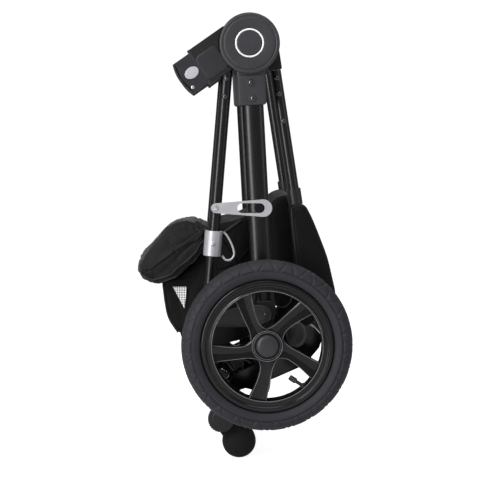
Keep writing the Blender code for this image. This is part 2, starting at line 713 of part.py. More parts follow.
def handle_route(side):
    """Points down one handle tube, from its socket to the knuckle."""
    knots = [on_handle(HANDLE_START), on_handle(HANDLE_STRAIGHT * 0.5), on_handle(HANDLE_STRAIGHT)]
    low = on_handle(HANDLE_STRAIGHT + 0.06)
    knots += [(low[0] + 0.003, low[1]), (KNUCKLE_X - 0.0130, KNUCKLE_Z + 0.052)]
    end = (KNUCKLE_X - 0.0046, KNUCKLE_Z + 0.0215)
    return [(x, side * HANDLE_Y, z) for x, z in [*knots, end]]


def make_handle(name, side):
    """One side of the handle with its knuckle disc."""
    straight = handle_route(side)
    path = [straight[0], straight[1]] + smooth_path(straight[2:], 4)
    keep(tube("handle_tube_" + name, path, HANDLE_R), "black_paint")
    rim = []
    for i in range(KNUCKLE_RIBS * 2):
        radius = KNUCKLE_R - (KNUCKLE_RIB if i % 2 else 0)
        turn = math.pi * i / KNUCKLE_RIBS
        rim.append((KNUCKLE_X + radius * math.cos(turn), KNUCKLE_Z + radius * math.sin(turn)))
    inner = HANDLE_Y - KNUCKLE_DEPTH / 2
    knuckle = plate("grip_knuckle_" + name, [rim], side * inner, side * (inner + KNUCKLE_DEPTH))
    bore = cylinder("grip_knuckle_bore_" + name, KNUCKLE_X, KNUCKLE_Z, KNUCKLE_PIN_R + GAP,
                    side * (inner - 0.01), side * (inner + 0.006))
    heading = (Vector(path[-1]) - Vector(path[-2])).normalized()
    seat = bar_between("grip_knuckle_seat_" + name, Vector(path[-1]) - heading * 0.03,
                       Vector(path[-1]) + heading * GAP, HANDLE_R + GAP * 1.5)
    keep(cut(knuckle, bore, seat), "black_plastic")


def make_grip():
    """Cross grip with bulbous ends, its two arms and the pins that it turns on."""
    profile = [(0, -GRIP_HALF - GRIP_CROWN)]
    for i in range(1, 5):
        turn = math.pi / 2 * i / 5
        profile.append((GRIP_END_R * math.sin(turn), -GRIP_HALF - GRIP_CROWN * math.cos(turn)))
    for i in range(6):
        t = i / 5
        swell = (1 + math.cos(math.pi * t)) / 2
        profile.append((GRIP_MID_R + (GRIP_END_R - GRIP_MID_R) * swell, -GRIP_HALF + GRIP_SWELL * t))
    profile += [(radius, -height) for radius, height in reversed(profile)]
    grip_z = GRIP_END_R
    grip = turned("handle_grip", profile, facing_side(GRIP_X, 0, grip_z, 1), 20)
    inner = HANDLE_Y - KNUCKLE_DEPTH / 2 - RUNNING
    angle = math.atan2(grip_z - KNUCKLE_Z, GRIP_X - KNUCKLE_X)
    half = GRIP_ARM_WIDE / 2
    for name, side in SIDES.items():
        ends = (arc(KNUCKLE_X, KNUCKLE_Z, half, angle + math.pi / 2, angle + math.pi * 1.5, 6)
                + arc(GRIP_X, grip_z, half, angle - math.pi / 2, angle + math.pi / 2, 6))
        arm = plate("grip_arm_" + name, [ends], side * (inner - GRIP_ARM_DEPTH), side * inner)
        pin = cylinder("grip_pin_" + name, KNUCKLE_X, KNUCKLE_Z, KNUCKLE_PIN_R, side * (inner - 0.004),
                       side * (inner + 0.0055))
        join(grip, arm, pin)
    keep(grip, "foam")


def make_front_leg(name, side):
    """Front disc with its socket, tube, sleeve and leg cover."""
    joint = plate("front_joint_" + name, [circle(HUB_X, HUB_Z, HUB_DISC_R, 32)], side * FRONT_INNER,
                  side * (HANDLE_INNER - RUNNING))
    half = SOCKET_WIDE / 2
    socket = plate("front_socket_" + name, [rounded([on_front(-0.010, half), on_front(FRONT_START - GAP, half),
                                                     on_front(FRONT_START - GAP, -half), on_front(-0.010, -half)],
                                                    0.003)],
                   side * (FRONT_INNER + 0.0003), side * (HANDLE_INNER - RUNNING - 0.0003))
    bore = cylinder("front_joint_bore_" + name, HUB_X, HUB_Z, HUB_BOLT_R + RUNNING, side * (FRONT_INNER - 0.01),
                    side * (HANDLE_INNER + 0.01))
    join(joint, socket)
    keep(cut(joint, bore), "black_plastic")
    start = on_front(FRONT_START)
    end = on_front(FRONT_START + FRONT_LENGTH)
    bar = bar_between("front_tube_" + name, (start[0], side * FRONT_Y, start[1]), (end[0], side * FRONT_Y, end[1]),
                      FRONT_R)
    keep(bar, "black_paint")

    boss = [on_swivel(SWIVEL_TOP, SWIVEL_BOSS_R), on_swivel(SWIVEL_TOP, -SWIVEL_BOSS_R)]
    outline = COVER_FRONT + boss + COVER_BACK
    middle = FRONT_Y - COVER_IN
    cover = plate("leg_cover_" + name, [rounded(outline, 0.012, 2)], side * (middle - COVER_DEEP / 2),
                  side * (middle + COVER_DEEP / 2), COVER_EDGE)
    bore_end = on_front(FRONT_START + FRONT_LENGTH + GAP)
    bore_start = on_front(FRONT_START + 0.15)
    hole = bar_between("leg_cover_bore_" + name, (bore_start[0], side * FRONT_Y, bore_start[1]),
                       (bore_end[0], side * FRONT_Y, bore_end[1]), FRONT_R + GAP)
    stem_top = on_swivel(SWIVEL_TOP - SWIVEL_STEM_UP - GAP)
    stem_low = on_swivel(0)
    stem_hole = bar_between("leg_cover_stem_bore_" + name, (stem_top[0], side * CASTER_Y, stem_top[1]),
                            (stem_low[0], side * CASTER_Y, stem_low[1]), SWIVEL_STEM_R + RUNNING)
    foot_hole = cylinder("leg_cover_foot_bore_" + name, FOOT_TUBE_X, FOOT_TUBE_Z, FOOT_TUBE_R + GAP,
                         side * (FRONT_Y - 0.03), side * (FRONT_Y - 0.010))
    keep(cut(cover, hole, stem_hole, foot_hole), "black_plastic")


def make_fork(name, side):
    """Caster fork with its dome, swivel stem and wheel axle."""
    seat = SWIVEL_TOP + RUNNING + GAP
    top = [on_swivel(seat, -SWIVEL_BOSS_R), on_swivel(seat, SWIVEL_BOSS_R + FORK_LIP)]
    half = FRONT_TYRE_WIDE / 2 + LOOSE
    outer = half + FORK_LEG
    fork = plate("caster_fork_" + name, [rounded(top + FORK_OUTLINE, 0.008, 2)], side * (CASTER_Y - outer),
                 side * (CASTER_Y + outer))
    wheel_space = cylinder("caster_fork_space_" + name, FRONT_AXLE_X, FRONT_AXLE_Z, FRONT_WHEEL_R + 0.003,
                           side * (CASTER_Y - half), side * (CASTER_Y + half), ROUND)
    shape = bmesh.new()
    bmesh.ops.create_uvsphere(shape, u_segments=16, v_segments=10, radius=1.0)
    long_x, deep, long_z = FORK_DOME
    bmesh.ops.scale(shape, vec=(long_x, deep, long_z), verts=shape.verts)
    dome = from_bmesh("caster_dome_" + name, shape, Matrix.Translation((SWIVEL_X, side * (CASTER_Y + outer - 0.003),
                                                                       SWIVEL_Z)))
    bore = cylinder("caster_fork_axle_bore_" + name, FRONT_AXLE_X, FRONT_AXLE_Z, FRONT_AXLE_R + GAP,
                    side * (CASTER_Y - outer - 0.01), side * (CASTER_Y + outer + 0.01))
    low = on_swivel(SWIVEL_STEM_DOWN + GAP)
    high = on_swivel(SWIVEL_TOP - 0.01)
    stem_hole = bar_between("caster_fork_stem_bore_" + name, (high[0], side * CASTER_Y, high[1]),
                            (low[0], side * CASTER_Y, low[1]), SWIVEL_STEM_R + GAP)
    join(fork, dome)
    keep(cut(fork, wheel_space, bore, stem_hole), "rim_plastic")
    top = on_swivel(SWIVEL_TOP - SWIVEL_STEM_UP)
    bottom = on_swivel(SWIVEL_STEM_DOWN)
    stem = bar_between("caster_stem_" + name, (top[0], side * CASTER_Y, top[1]),
                       (bottom[0], side * CASTER_Y, bottom[1]), SWIVEL_STEM_R)
    keep(stem, "steel")
    axle = cylinder("front_axle_" + name, FRONT_AXLE_X, FRONT_AXLE_Z, FRONT_AXLE_R,
                    side * (CASTER_Y - outer - 0.0005), side * (CASTER_Y + outer + 0.0005), 12)
    for end in (-1, 1):
        head = cylinder("front_axle_head_" + name, FRONT_AXLE_X, FRONT_AXLE_Z, FRONT_AXLE_HEAD_R,
                        side * (CASTER_Y + end * (outer + GAP)),
                        side * (CASTER_Y + end * (outer + GAP + FRONT_AXLE_HEAD)), 12)
        join(axle, head)
    keep(axle, "steel")


def tyre_profile(inner, outer, wide):
    """Half-round tread on straight sidewalls, closed at the bead."""
    half = wide / 2
    crown = half * TREAD_CROWN
    centre = outer - crown
    shoulder = min(inner + (outer - inner) * SHOULDER_SHARE, centre - GAP * 2)
    points = [(inner, -half * BEAD_SHARE), (shoulder, -half * WALL_SHARE)]
    for i in range(TREAD_STEPS + 1):
        turn = -math.pi / 2 + math.pi * i / TREAD_STEPS
        points.append((centre + crown * math.cos(turn), half * math.sin(turn)))
    points += [(shoulder, half * WALL_SHARE), (inner, half * BEAD_SHARE)]
    return points


def make_front_wheel(name, side):
    """Tyre and spoked rim of one caster."""
    place = facing_side(FRONT_AXLE_X, side * CASTER_Y, FRONT_AXLE_Z, side)
    keep(turned("front_tyre_" + name, tyre_profile(FRONT_RIM_R + GAP, FRONT_WHEEL_R, FRONT_TYRE_WIDE), place, 24,
                closed=True), "rubber")
    wide = 0.0115
    rim = turned("front_rim_" + name, [(FRONT_RIM_R - 0.006, -wide), (FRONT_RIM_R, -wide), (FRONT_RIM_R, wide),
                                       (FRONT_RIM_R - 0.006, wide)], place, 24, closed=True)
    hub = cylinder("front_rim_hub_" + name, FRONT_AXLE_X, FRONT_AXLE_Z, FRONT_HUB_R, side * (CASTER_Y - 0.0155),
                   side * (CASTER_Y + 0.0155), 20)
    join(rim, hub)
    for i in range(SPOKES):
        angle = SPOKE_FIRST + 2 * math.pi * i / SPOKES
        root = 0.012
        tip = 0.009
        corners = [
            along(FRONT_AXLE_X, FRONT_AXLE_Z, angle, 0.004, -root), along(FRONT_AXLE_X, FRONT_AXLE_Z, angle + 0.35,
                                                                         FRONT_RIM_R - 0.003, -tip),
            along(FRONT_AXLE_X, FRONT_AXLE_Z, angle + 0.35, FRONT_RIM_R - 0.003, tip),
            along(FRONT_AXLE_X, FRONT_AXLE_Z, angle, 0.004, root),
        ]
        join(rim, plate("front_spoke_%d_%s" % (i, name), [corners], side * (CASTER_Y - 0.006 - 0.0002 * i),
                        side * (CASTER_Y + 0.006 + 0.0002 * i)))
    cut(rim, cylinder("front_rim_bore_" + name, FRONT_AXLE_X, FRONT_AXLE_Z, FRONT_AXLE_R + RUNNING,
                      side * (CASTER_Y - 0.03), side * (CASTER_Y + 0.03), 12))
    keep(rim, "rim_plastic")


def spoke_outline(angle):
    """A waisted spoke whose sides sweep into the hub and the rim."""
    left = []
    right = []
    for i in range(7):
        t = i / 6
        radius = 0.010 + (REAR_RIM_INNER_R + 0.004 - 0.010) * t
        half = SPOKE_MID_WIDE / 2 + (SPOKE_ROOT_WIDE - SPOKE_MID_WIDE) / 2 * (2 * t - 1) ** 4
        if t < 0.3:
            half += 0.010 * (1 - t / 0.3) ** 2
        left.append(along(REAR_AXLE_X, REAR_AXLE_Z, angle, radius, half))
        right.append(along(REAR_AXLE_X, REAR_AXLE_Z, angle, radius, -half))
    return left + right[::-1]


def make_rear_wheel(name, side):
    """Tyre, spoked rim with its valve, and hub cap of one rear wheel."""
    middle = side * REAR_TYRE_Y
    place = facing_side(REAR_AXLE_X, middle, REAR_AXLE_Z, side)
    keep(turned("rear_tyre_" + name, tyre_profile(REAR_BEAD_R + GAP, REAR_WHEEL_R, REAR_TYRE_WIDE), place, 40,
                closed=True), "rubber")
    half = REAR_RIM_WIDE / 2
    section = [
        (REAR_RIM_INNER_R, -half), (REAR_BEAD_R - 0.004, -half), (REAR_BEAD_R, -half + 0.004), (REAR_BEAD_R, half - 0.004),
        (REAR_BEAD_R - 0.004, half), (REAR_RIM_INNER_R + 0.006, half - 0.001), (REAR_RIM_INNER_R, half - 0.005),
    ]
    rim = turned("rear_rim_" + name, section, place, 36, closed=True)
    hub = cylinder("rear_rim_hub_" + name, REAR_AXLE_X, REAR_AXLE_Z, REAR_WHEEL_HUB_R,
                   side * (REAR_TYRE_Y - REAR_HUB_INNER_FACE), side * (REAR_TYRE_Y + REAR_HUB_OUTER_FACE - 0.003))
    join(rim, hub)
    for i in range(SPOKES):
        angle = SPOKE_FIRST + 2 * math.pi * i / SPOKES
        step = 0.0002 * i
        join(rim, plate("rear_spoke_%d_%s" % (i, name), [spoke_outline(angle)],
                        side * (REAR_TYRE_Y - SPOKE_DEEP / 2 - step), side * (REAR_TYRE_Y + SPOKE_DEEP / 2 + step)))
    stem_from = along(REAR_AXLE_X, REAR_AXLE_Z, VALVE_ANGLE, REAR_RIM_INNER_R - VALVE_LONG)
    stem_to = along(REAR_AXLE_X, REAR_AXLE_Z, VALVE_ANGLE, REAR_RIM_INNER_R + 0.004)
    join(rim, bar_between("valve_" + name, (stem_from[0], middle, stem_from[1]), (stem_to[0], middle, stem_to[1]),
                          VALVE_R, 10))
    bore = cylinder("rear_rim_bore_" + name, REAR_AXLE_X, REAR_AXLE_Z, AXLE_R + RUNNING, side * (REAR_TYRE_Y - 0.05),
                    side * (REAR_TYRE_Y + 0.05))
    pocket = cylinder("rear_rim_pocket_" + name, REAR_AXLE_X, REAR_AXLE_Z, WHEEL_CAP_R + GAP,
                      side * (REAR_TYRE_Y + CAP_SEAT), side * (REAR_TYRE_Y + 0.05), 28)
    keep(cut(rim, bore, pocket), "rim_plastic")
    base = CAP_SEAT + GAP
    crown = REAR_TYRE_WIDE / 2 - 0.0020
    profile = [(AXLE_R + RUNNING, base), (WHEEL_CAP_R, base), (WHEEL_CAP_R, crown - 0.006),
               (WHEEL_CAP_R * 0.93, crown - 0.003), (WHEEL_CAP_R * 0.6, crown - 0.0008), (0, crown),
               (0, REAR_HUB_OUTER_FACE + 0.0016), (AXLE_R + RUNNING, REAR_HUB_OUTER_FACE + 0.0016)]
    keep(turned("wheel_cap_" + name, profile, place, 28, closed=True), "hub_plastic")


def make_latch():
    """Slotted latch plate on the right side, with its stud on the rear tube."""
    x, z = on_handle(LATCH_DROP)
    tip = x + LATCH_LONG
    lean = math.asin((LATCH_LARGE_R - LATCH_SMALL_R) / LATCH_LONG)
    outline = (arc(x, z, LATCH_SMALL_R, math.pi / 2 + lean, math.pi * 1.5 - lean, 8)
               + arc(tip, z, LATCH_LARGE_R, -math.pi / 2 - lean, math.pi / 2 + lean, 12))
    slot_start = x + LATCH_SLOT_START + LATCH_SLOT_R
    slot_end = x + LATCH_SLOT_END - LATCH_SLOT_R
    slot = (arc(slot_start, z, LATCH_SLOT_R, math.pi / 2, math.pi * 1.5, 8)
            + arc(slot_end, z, LATCH_SLOT_R, -math.pi / 2, math.pi / 2, 8))
    hole = circle(x, z, RIVET_R + LOOSE / 2, 14)
    inner = LATCH_PLANE - LATCH_THICK / 2
    outer = LATCH_PLANE + LATCH_THICK / 2
    keep(plate("latch_plate", [outline, slot, hole], -inner, -outer), "silver")
    pin = cylinder("latch_pin", x, z, RIVET_R, -(HANDLE_Y + HANDLE_R * 0.92), -(outer + LOOSE / 2))
    head = turned("latch_pin_head", [(0, 0), (RIVET_R * 1.5, 0), (RIVET_R * 1.2, RIVET_PROUD), (0, RIVET_PROUD * 1.4)],
                  facing_side(x, -(outer + GAP), z, -1), 14)
    seat = bar_between("latch_pin_seat", (on_handle(LATCH_DROP - 0.05)[0], -HANDLE_Y, on_handle(LATCH_DROP - 0.05)[1]),
                       (on_handle(LATCH_DROP + 0.05)[0], -HANDLE_Y, on_handle(LATCH_DROP + 0.05)[1]), HANDLE_R + GAP)
    join(pin, head)
    keep(cut(pin, seat), "steel")
    tube_face = LEG_Y + REAR_TUBE_DEEP / 2
    stud = cylinder("latch_stud", x + STUD_FROM_PIN, z, STUD_R, -(tube_face - STUD_IN), -(inner - GAP), 20)
    leg = oval_bar("latch_stud_seat", -1, REAR_TUBE_START, REAR_LENGTH - REAR_TUBE_TO_AXLE, GAP)
    keep(cut(stud, leg), "steel")


def make_clip():
    """Curved saddle clip over the right handle tube, and the wire loop that hangs from it."""
    x, z = on_handle(CLIP_DROP)
    start = on_handle(CLIP_DROP - CLIP_LONG / 2)
    end = on_handle(CLIP_DROP + CLIP_LONG / 2)
    shell = bar_between("saddle_clip", (start[0], -HANDLE_Y, start[1]), (end[0], -HANDLE_Y, end[1]),
                        CLIP_R + CLIP_WALL, 20)
    long_start = on_handle(CLIP_DROP - CLIP_LONG)
    long_end = on_handle(CLIP_DROP + CLIP_LONG)
    inner = bar_between("saddle_clip_inside", (long_start[0], -HANDLE_Y, long_start[1]),
                        (long_end[0], -HANDLE_Y, long_end[1]), HANDLE_R + GAP, 20)
    back = plate("saddle_clip_back", [[(x - 0.04, z - 0.04), (x + 0.04, z - 0.04), (x + 0.04, z + 0.04),
                                       (x - 0.04, z + 0.04)]], -(HANDLE_Y - 0.004), -(HANDLE_Y - 0.04))
    keep(cut(shell, inner, back), "silver")
    knots = [(px, -WIRE_FACE, pz) for px, pz in WIRE_ROUTE]
    keep(tube("wire_loop", smooth_path(knots, 4), WIRE_R, 2), "silver")


def make_cross_pieces():
    """Rear cross tube with the brake pedal on it, and the front foot tube."""
    x, z = on_rear(REAR_LENGTH - CROSS_TUBE_FROM_AXLE)
    inner = LEG_Y - AXLE_HOUSING_DEEP / 2 - GAP
    keep(cylinder("rear_cross_tube", x, z, CROSS_TUBE_R, -inner, inner, 20), "black_paint")
    outer_r = CROSS_TUBE_R + RUNNING + PEDAL_SLEEVE
    half = PEDAL_WIDE / 2
    pedal = plate("brake_pedal", [circle(x, z, outer_r, 24)], -half, half)
    blade = plate("brake_pedal_blade", [rounded([(x + 0.006, z - outer_r + 0.001), (x + 0.006, z - outer_r + 0.001
                                                                                    + PEDAL_THICK),
                                                 (x - PEDAL_LONG, z - outer_r + 0.001 + PEDAL_THICK - 0.004),
                                                 (x - PEDAL_LONG, z - outer_r - 0.003)], 0.002)], -half + 0.001,
                  half - 0.001)
    bore = cylinder("brake_pedal_bore", x, z, CROSS_TUBE_R + RUNNING, -half - 0.01, half + 0.01, 20)
    join(pedal, blade)
    keep(cut(pedal, bore), "black_plastic")
    foot = FRONT_Y - 0.010 - GAP
    keep(cylinder("foot_tube", FOOT_TUBE_X, FOOT_TUBE_Z, FOOT_TUBE_R, -foot, foot, 20), "black_paint")


def make_soft_parts():
    """Plain solids of the folded cloth bundle and the shopping basket."""
    keep(plate("cloth_bundle", [BUNDLE_OUTLINE], -BUNDLE_HALF, BUNDLE_HALF, BUNDLE_EDGE), "cloth")
    x, z = on_rear(REAR_LENGTH - CROSS_TUBE_FROM_AXLE)
    rest = z + CROSS_TUBE_R + GAP
    clear = PEDAL_SLEEVE + RUNNING + GAP
    over_tube = [(x - BASKET_REST, rest + clear), (x + BASKET_REST, rest + clear)]
    keep(plate("basket", [BASKET_FLOOR + over_tube + BASKET_TOP], -BASKET_HALF, BASKET_HALF), "cloth")


for side_name, side_sign in SIDES.items():
    make_hub(side_name, side_sign)
    make_rear_leg(side_name, side_sign)
    make_axle_housing(side_name, side_sign)
    make_handle_joint(side_name, side_sign)
    make_adapter(side_name, side_sign)
    make_handle(side_name, side_sign)
    make_front_leg(side_name, side_sign)
    make_fork(side_name, side_sign)
    make_front_wheel(side_name, side_sign)
    make_rear_wheel(side_name, side_sign)
make_grip()
make_latch()
make_clip()
make_cross_pieces()
make_soft_parts()
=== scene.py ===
"""Looks of the folded pushchair chassis: surfaces, soft goods, finishes, light and camera.

Metres, +Z up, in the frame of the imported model. +X is the front of the unfolded chair, -Y its right side.
"""
import json
import math

import bmesh
import bpy
import numpy as np
from mathutils import Matrix, Vector


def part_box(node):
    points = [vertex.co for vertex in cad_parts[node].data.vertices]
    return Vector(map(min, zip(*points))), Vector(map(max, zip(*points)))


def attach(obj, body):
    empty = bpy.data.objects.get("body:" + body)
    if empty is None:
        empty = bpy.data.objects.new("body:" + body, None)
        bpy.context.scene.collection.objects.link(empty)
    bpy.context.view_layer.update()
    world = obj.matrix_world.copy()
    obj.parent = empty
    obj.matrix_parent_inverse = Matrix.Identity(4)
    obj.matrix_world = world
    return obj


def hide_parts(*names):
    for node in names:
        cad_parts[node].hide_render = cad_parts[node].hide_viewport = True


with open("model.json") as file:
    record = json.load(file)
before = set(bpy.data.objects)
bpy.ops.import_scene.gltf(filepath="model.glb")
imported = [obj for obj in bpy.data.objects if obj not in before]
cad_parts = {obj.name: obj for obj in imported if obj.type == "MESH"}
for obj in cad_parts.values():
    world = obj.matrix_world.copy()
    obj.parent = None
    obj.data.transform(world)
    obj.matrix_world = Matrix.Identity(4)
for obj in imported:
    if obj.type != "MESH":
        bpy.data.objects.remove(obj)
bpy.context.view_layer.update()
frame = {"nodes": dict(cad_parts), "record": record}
SIDES = (("right", -1), ("left", 1))


def low(node):
    """Lowest corner of a node's box."""
    return np.array(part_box(node)[0], dtype=float)


def high(node):
    """Highest corner of a node's box."""
    return np.array(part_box(node)[1], dtype=float)


def middle(node):
    """Middle of a node's box."""
    return (low(node) + high(node)) / 2


def extent(node):
    """Lengths of a node's box along X, Y and Z."""
    return high(node) - low(node)


class Value:
    """A shader socket that Python arithmetic can be done on."""

    def __init__(self, build, socket):
        self.build = build
        self.socket = socket

    def _math(self, operation, *values):
        return self.build.node("ShaderNodeMath", {"operation": operation}, dict(enumerate(values)))

    def __add__(self, other):
        return self._math("ADD", self, other)

    __radd__ = __add__

    def __mul__(self, other):
        return self._math("MULTIPLY", self, other)

    __rmul__ = __mul__

    def __sub__(self, other):
        return self._math("SUBTRACT", self, other)

    def sine(self):
        """Sine of the value."""
        return self._math("SINE", self)


class Finish:
    """Builds one material's nodes."""

    def __init__(self, name):
        self.material = bpy.data.materials.new(name)
        self.material.use_nodes = True
        self.tree = self.material.node_tree
        self.shader = self.tree.nodes["Principled BSDF"]

    def node(self, kind, settings, inputs, output=0):
        """A node of a type, with its settings first and then its sockets."""
        made = self.tree.nodes.new(kind)
        for name, value in settings.items():
            if name == "stops":
                while len(made.color_ramp.elements) < len(value):
                    made.color_ramp.elements.new(0.5)
                for element, (place, colour) in zip(made.color_ramp.elements, value):
                    element.position = place
                    element.color = (*colour, 1.0)
            else:
                setattr(made, name, value)
        for name, value in inputs.items():
            if isinstance(value, Value):
                self.tree.links.new(value.socket, made.inputs[name])
            else:
                made.inputs[name].default_value = value
        return Value(self, made.outputs[output])

    def place(self):
        """Object coordinates."""
        return self.node("ShaderNodeTexCoord", {}, {}, "Object")

    def axes(self):
        """X, Y and Z of the Object coordinates."""
        split = self.node("ShaderNodeSeparateXYZ", {}, {"Vector": self.place()}, 0)
        return [Value(self, socket) for socket in split.socket.node.outputs]

    def mottled(self, fleck, colour, dark, light):
        """Feeds the base colour a ramp over fleck; dark and light are (place, factor) of the colour."""
        stops = [(spot, shade(colour, factor)) for spot, factor in (dark, light)]
        self.set("Base Color", self.ramp(fleck, *stops))

    def noise(self, scale, detail=3.0, stretch=(1, 1, 1)):
        """Noise on Object coordinates, stretched along an axis."""
        spot = self.node("ShaderNodeMapping", {}, {"Vector": self.place(), "Scale": stretch})
        return self.node("ShaderNodeTexNoise", {}, {"Vector": spot, "Scale": scale, "Detail": detail})

    def ramp(self, value, *stops):
        """A colour ramp of (place, colour) stops."""
        return self.node("ShaderNodeValToRGB", {"stops": stops}, {"Fac": value})

    def bump(self, height, strength, distance):
        """Feeds a height to the shader's normal."""
        sockets = {"Strength": strength, "Distance": distance, "Height": height}
        self.set("Normal", self.node("ShaderNodeBump", {}, sockets))

    def set(self, name, value):
        """Sets or links a socket of the shader."""
        if isinstance(value, Value):
            self.tree.links.new(value.socket, self.shader.inputs[name])
        else:
            self.shader.inputs[name].default_value = value


def shade(colour, factor):
    """A colour made lighter or darker."""
    return tuple(channel * factor for channel in colour)


def moulded_plastic(name, colour, roughness, grain=0.00006, specular=0.34):
    """Moulded plastic: fine spark-eroded grain, faint flow marks and rubbed patches."""
    finish = Finish(name)
    flow = finish.noise(9.0, 4.0)
    finish.mottled(flow, colour, (0.3, 0.86), (0.7, 1.14))
    finish.set("Roughness", finish.noise(26.0, 5.0) * 0.16 + (roughness - 0.08))
    finish.set("Specular IOR Level", specular)
    finish.bump(finish.noise(1500.0, 2.0), 0.35, grain)
    return finish.material


def gloss_paint(name, colour):
    """Powder coat with a soft gloss, faint dust and rubbed patches."""
    finish = Finish(name)
    finish.mottled(finish.noise(40.0), colour, (0.3, 0.9), (0.75, 1.2))
    finish.set("Roughness", finish.noise(18.0, 3.0) * 0.10 + 0.24)
    finish.set("Specular IOR Level", 0.36)
    finish.bump(finish.noise(900.0, 2.0), 0.2, 0.00002)
    return finish.material


def satin_aluminium(name, colour, roughness=0.34, metal=0.75):
    """Blasted aluminium: fine grain and soft stains."""
    finish = Finish(name)
    stain = finish.noise(30.0, 4.0)
    finish.mottled(stain, colour, (0.25, 0.90), (0.75, 1.05))
    finish.set("Metallic", metal)
    finish.set("Roughness", finish.noise(90.0, 4.0) * 0.16 + (roughness - 0.08))
    finish.bump(finish.noise(1400.0, 2.0), 0.3, 0.00008)
    return finish.material


def tyre_rubber(name, colour):
    """Tyre rubber with a dusty bloom in broad patches and fine pitting."""
    finish = Finish(name)
    bloom = finish.noise(14.0, 6.0) * 0.7 + finish.noise(620.0, 3.0) * 0.5 - 0.1
    stops = ((0.30, shade(colour, 0.78)), (0.55, colour), (0.78, shade(colour, 1.25)))
    finish.set("Base Color", finish.ramp(bloom, *stops))
    finish.set("Roughness", finish.noise(70.0, 5.0) * 0.2 + 0.52)
    finish.set("Specular IOR Level", 0.25)
    finish.bump(finish.noise(900.0, 4.0), 0.4, 0.00015)
    return finish.material


def coated_cloth(name, colour, thread=0.0009, sheen=0.2):
    """Black coated weave: over and under threads, soft creases and a dull sheen, with painted shade in the
    hollows of creases and threads and painted highlight on their crests.
    """
    finish = Finish(name)
    x, y, z = finish.axes()
    turns = 2 * math.pi / thread
    weave = (x * turns + y * turns).sine() * (z * turns).sine()
    crease = finish.noise(38.0, 6.0)
    # The colour follows the bump's height: painted shade in crease and thread hollows, painted highlight on
    # their crests.
    finish.mottled(crease + weave * 0.03, colour, (0.3, 0.75), (0.7, 1.3))
    finish.set("Roughness", crease * 0.2 + 0.55)
    finish.set("Sheen Weight", sheen)
    finish.set("Sheen Roughness", 0.4)
    finish.set("Specular IOR Level", 0.15)
    finish.bump(crease + weave * 0.12, 0.55, 0.0008)
    return finish.material


def grip_foam(name, colour):
    """Closed-cell foam: matte, with fine pores."""
    finish = Finish(name)
    pores = finish.noise(1100.0, 3.0)
    finish.mottled(finish.noise(20.0), colour, (0.3, 0.9), (0.7, 1.15))
    finish.set("Roughness", 0.82)
    finish.set("Specular IOR Level", 0.25)
    finish.bump(pores, 0.4, 0.0002)
    return finish.material


def net_cloth(name, pitch=0.0062):
    """A black net whose openings are painted pale and glow, painted light for the background seen through
    them, a field of dots at a pitch along both diagonals.
    """
    finish = Finish(name)
    x, _, z = finish.axes()
    turns = 2 * math.pi / pitch
    dots = ((x + z) * turns).sine() * ((x - z) * turns).sine()
    # Pale grey openings that also glow: painted light standing in for the background behind the net.
    glowing_holes = finish.ramp(dots * 0.5 + 0.5, (0.42, (0.80, 0.80, 0.80)), (0.60, (0.02, 0.02, 0.02)))
    finish.set("Base Color", glowing_holes)
    finish.set("Emission Color", glowing_holes)
    finish.set("Emission Strength", 0.45)
    finish.set("Roughness", 0.7)
    return finish.material


FINISHES = {
    "hub": moulded_plastic("hub_plastic", (0.034, 0.0325, 0.0375), 0.40),
    "plastic": moulded_plastic("black_plastic", (0.010, 0.0095, 0.010), 0.36),
    "cover": moulded_plastic("cover_plastic", (0.0040, 0.0037, 0.0040), 0.40, 0.00006, 0.15),
    "adapter": moulded_plastic("adapter_plastic", (0.024, 0.023, 0.027), 0.30),
    "paint": gloss_paint("black_paint", (0.0030, 0.0030, 0.0034)),
    "silver": satin_aluminium("satin_silver", (0.47, 0.47, 0.50), 0.42, 0.45),
    "ring": satin_aluminium("bright_ring", (0.98, 0.97, 1.00), 0.30, 0.20),
    "button": moulded_plastic("button_grey", (0.42, 0.41, 0.45), 0.45),
    "rubber": tyre_rubber("tyre_rubber", (0.0245, 0.0238, 0.0300)),
    "rim": moulded_plastic("rim_gloss", (0.0036, 0.0036, 0.0040), 0.17, 0.00002),
    "rivet": moulded_plastic("rivet_black", (0.0020, 0.0020, 0.0022), 0.10, 0.00001, 0.9),
    "bracket": moulded_plastic("bracket_plastic", (0.085, 0.082, 0.082), 0.36),
    # Light grey gloss for thin strips and rings along rim, hub and spoke edges: a painted highlight.
    "edge": moulded_plastic("painted_highlight_gloss", (0.125, 0.125, 0.135), 0.16, 0.00001),
    "dome": moulded_plastic("dome_gloss", (0.044, 0.044, 0.048), 0.34, 0.00002),
    "cap": moulded_plastic("cap_plastic", (0.028, 0.027, 0.031), 0.36),
    "cloth": coated_cloth("coated_cloth", (0.0130, 0.0118, 0.0130)),
    "basket": coated_cloth("basket_cloth", (0.0030, 0.0027, 0.0030), 0.0014, 0.03),
    "net": net_cloth("basket_net"),
    "piping": coated_cloth("piping_cloth", (0.030, 0.029, 0.031), 0.0006),
    "foam": grip_foam("grip_foam", (0.0060, 0.0054, 0.0058)),
    "steel": satin_aluminium("bright_steel", (0.62, 0.62, 0.63), 0.22),
}
SLOT_OF = {row["node"]: row["material_slot"] for row in frame["record"]["subparts"]}


def finish_nodes():
    """Gives every carried-over solid its finish."""
    kinds = {
        "hub_plastic": "hub", "black_plastic": "plastic", "black_paint": "paint", "silver": "silver",
        "button_grey": "button", "rubber": "rubber", "rim_plastic": "rim", "cloth": "basket",
        "foam": "foam", "steel": "steel",
    }
    for name, obj in frame["nodes"].items():
        dark = name == "latch_stud" or name.startswith("front_axle")
        material = FINISHES["rim" if dark else kinds[SLOT_OF[name]]]
        obj.data.materials.clear()
        obj.data.materials.append(material)


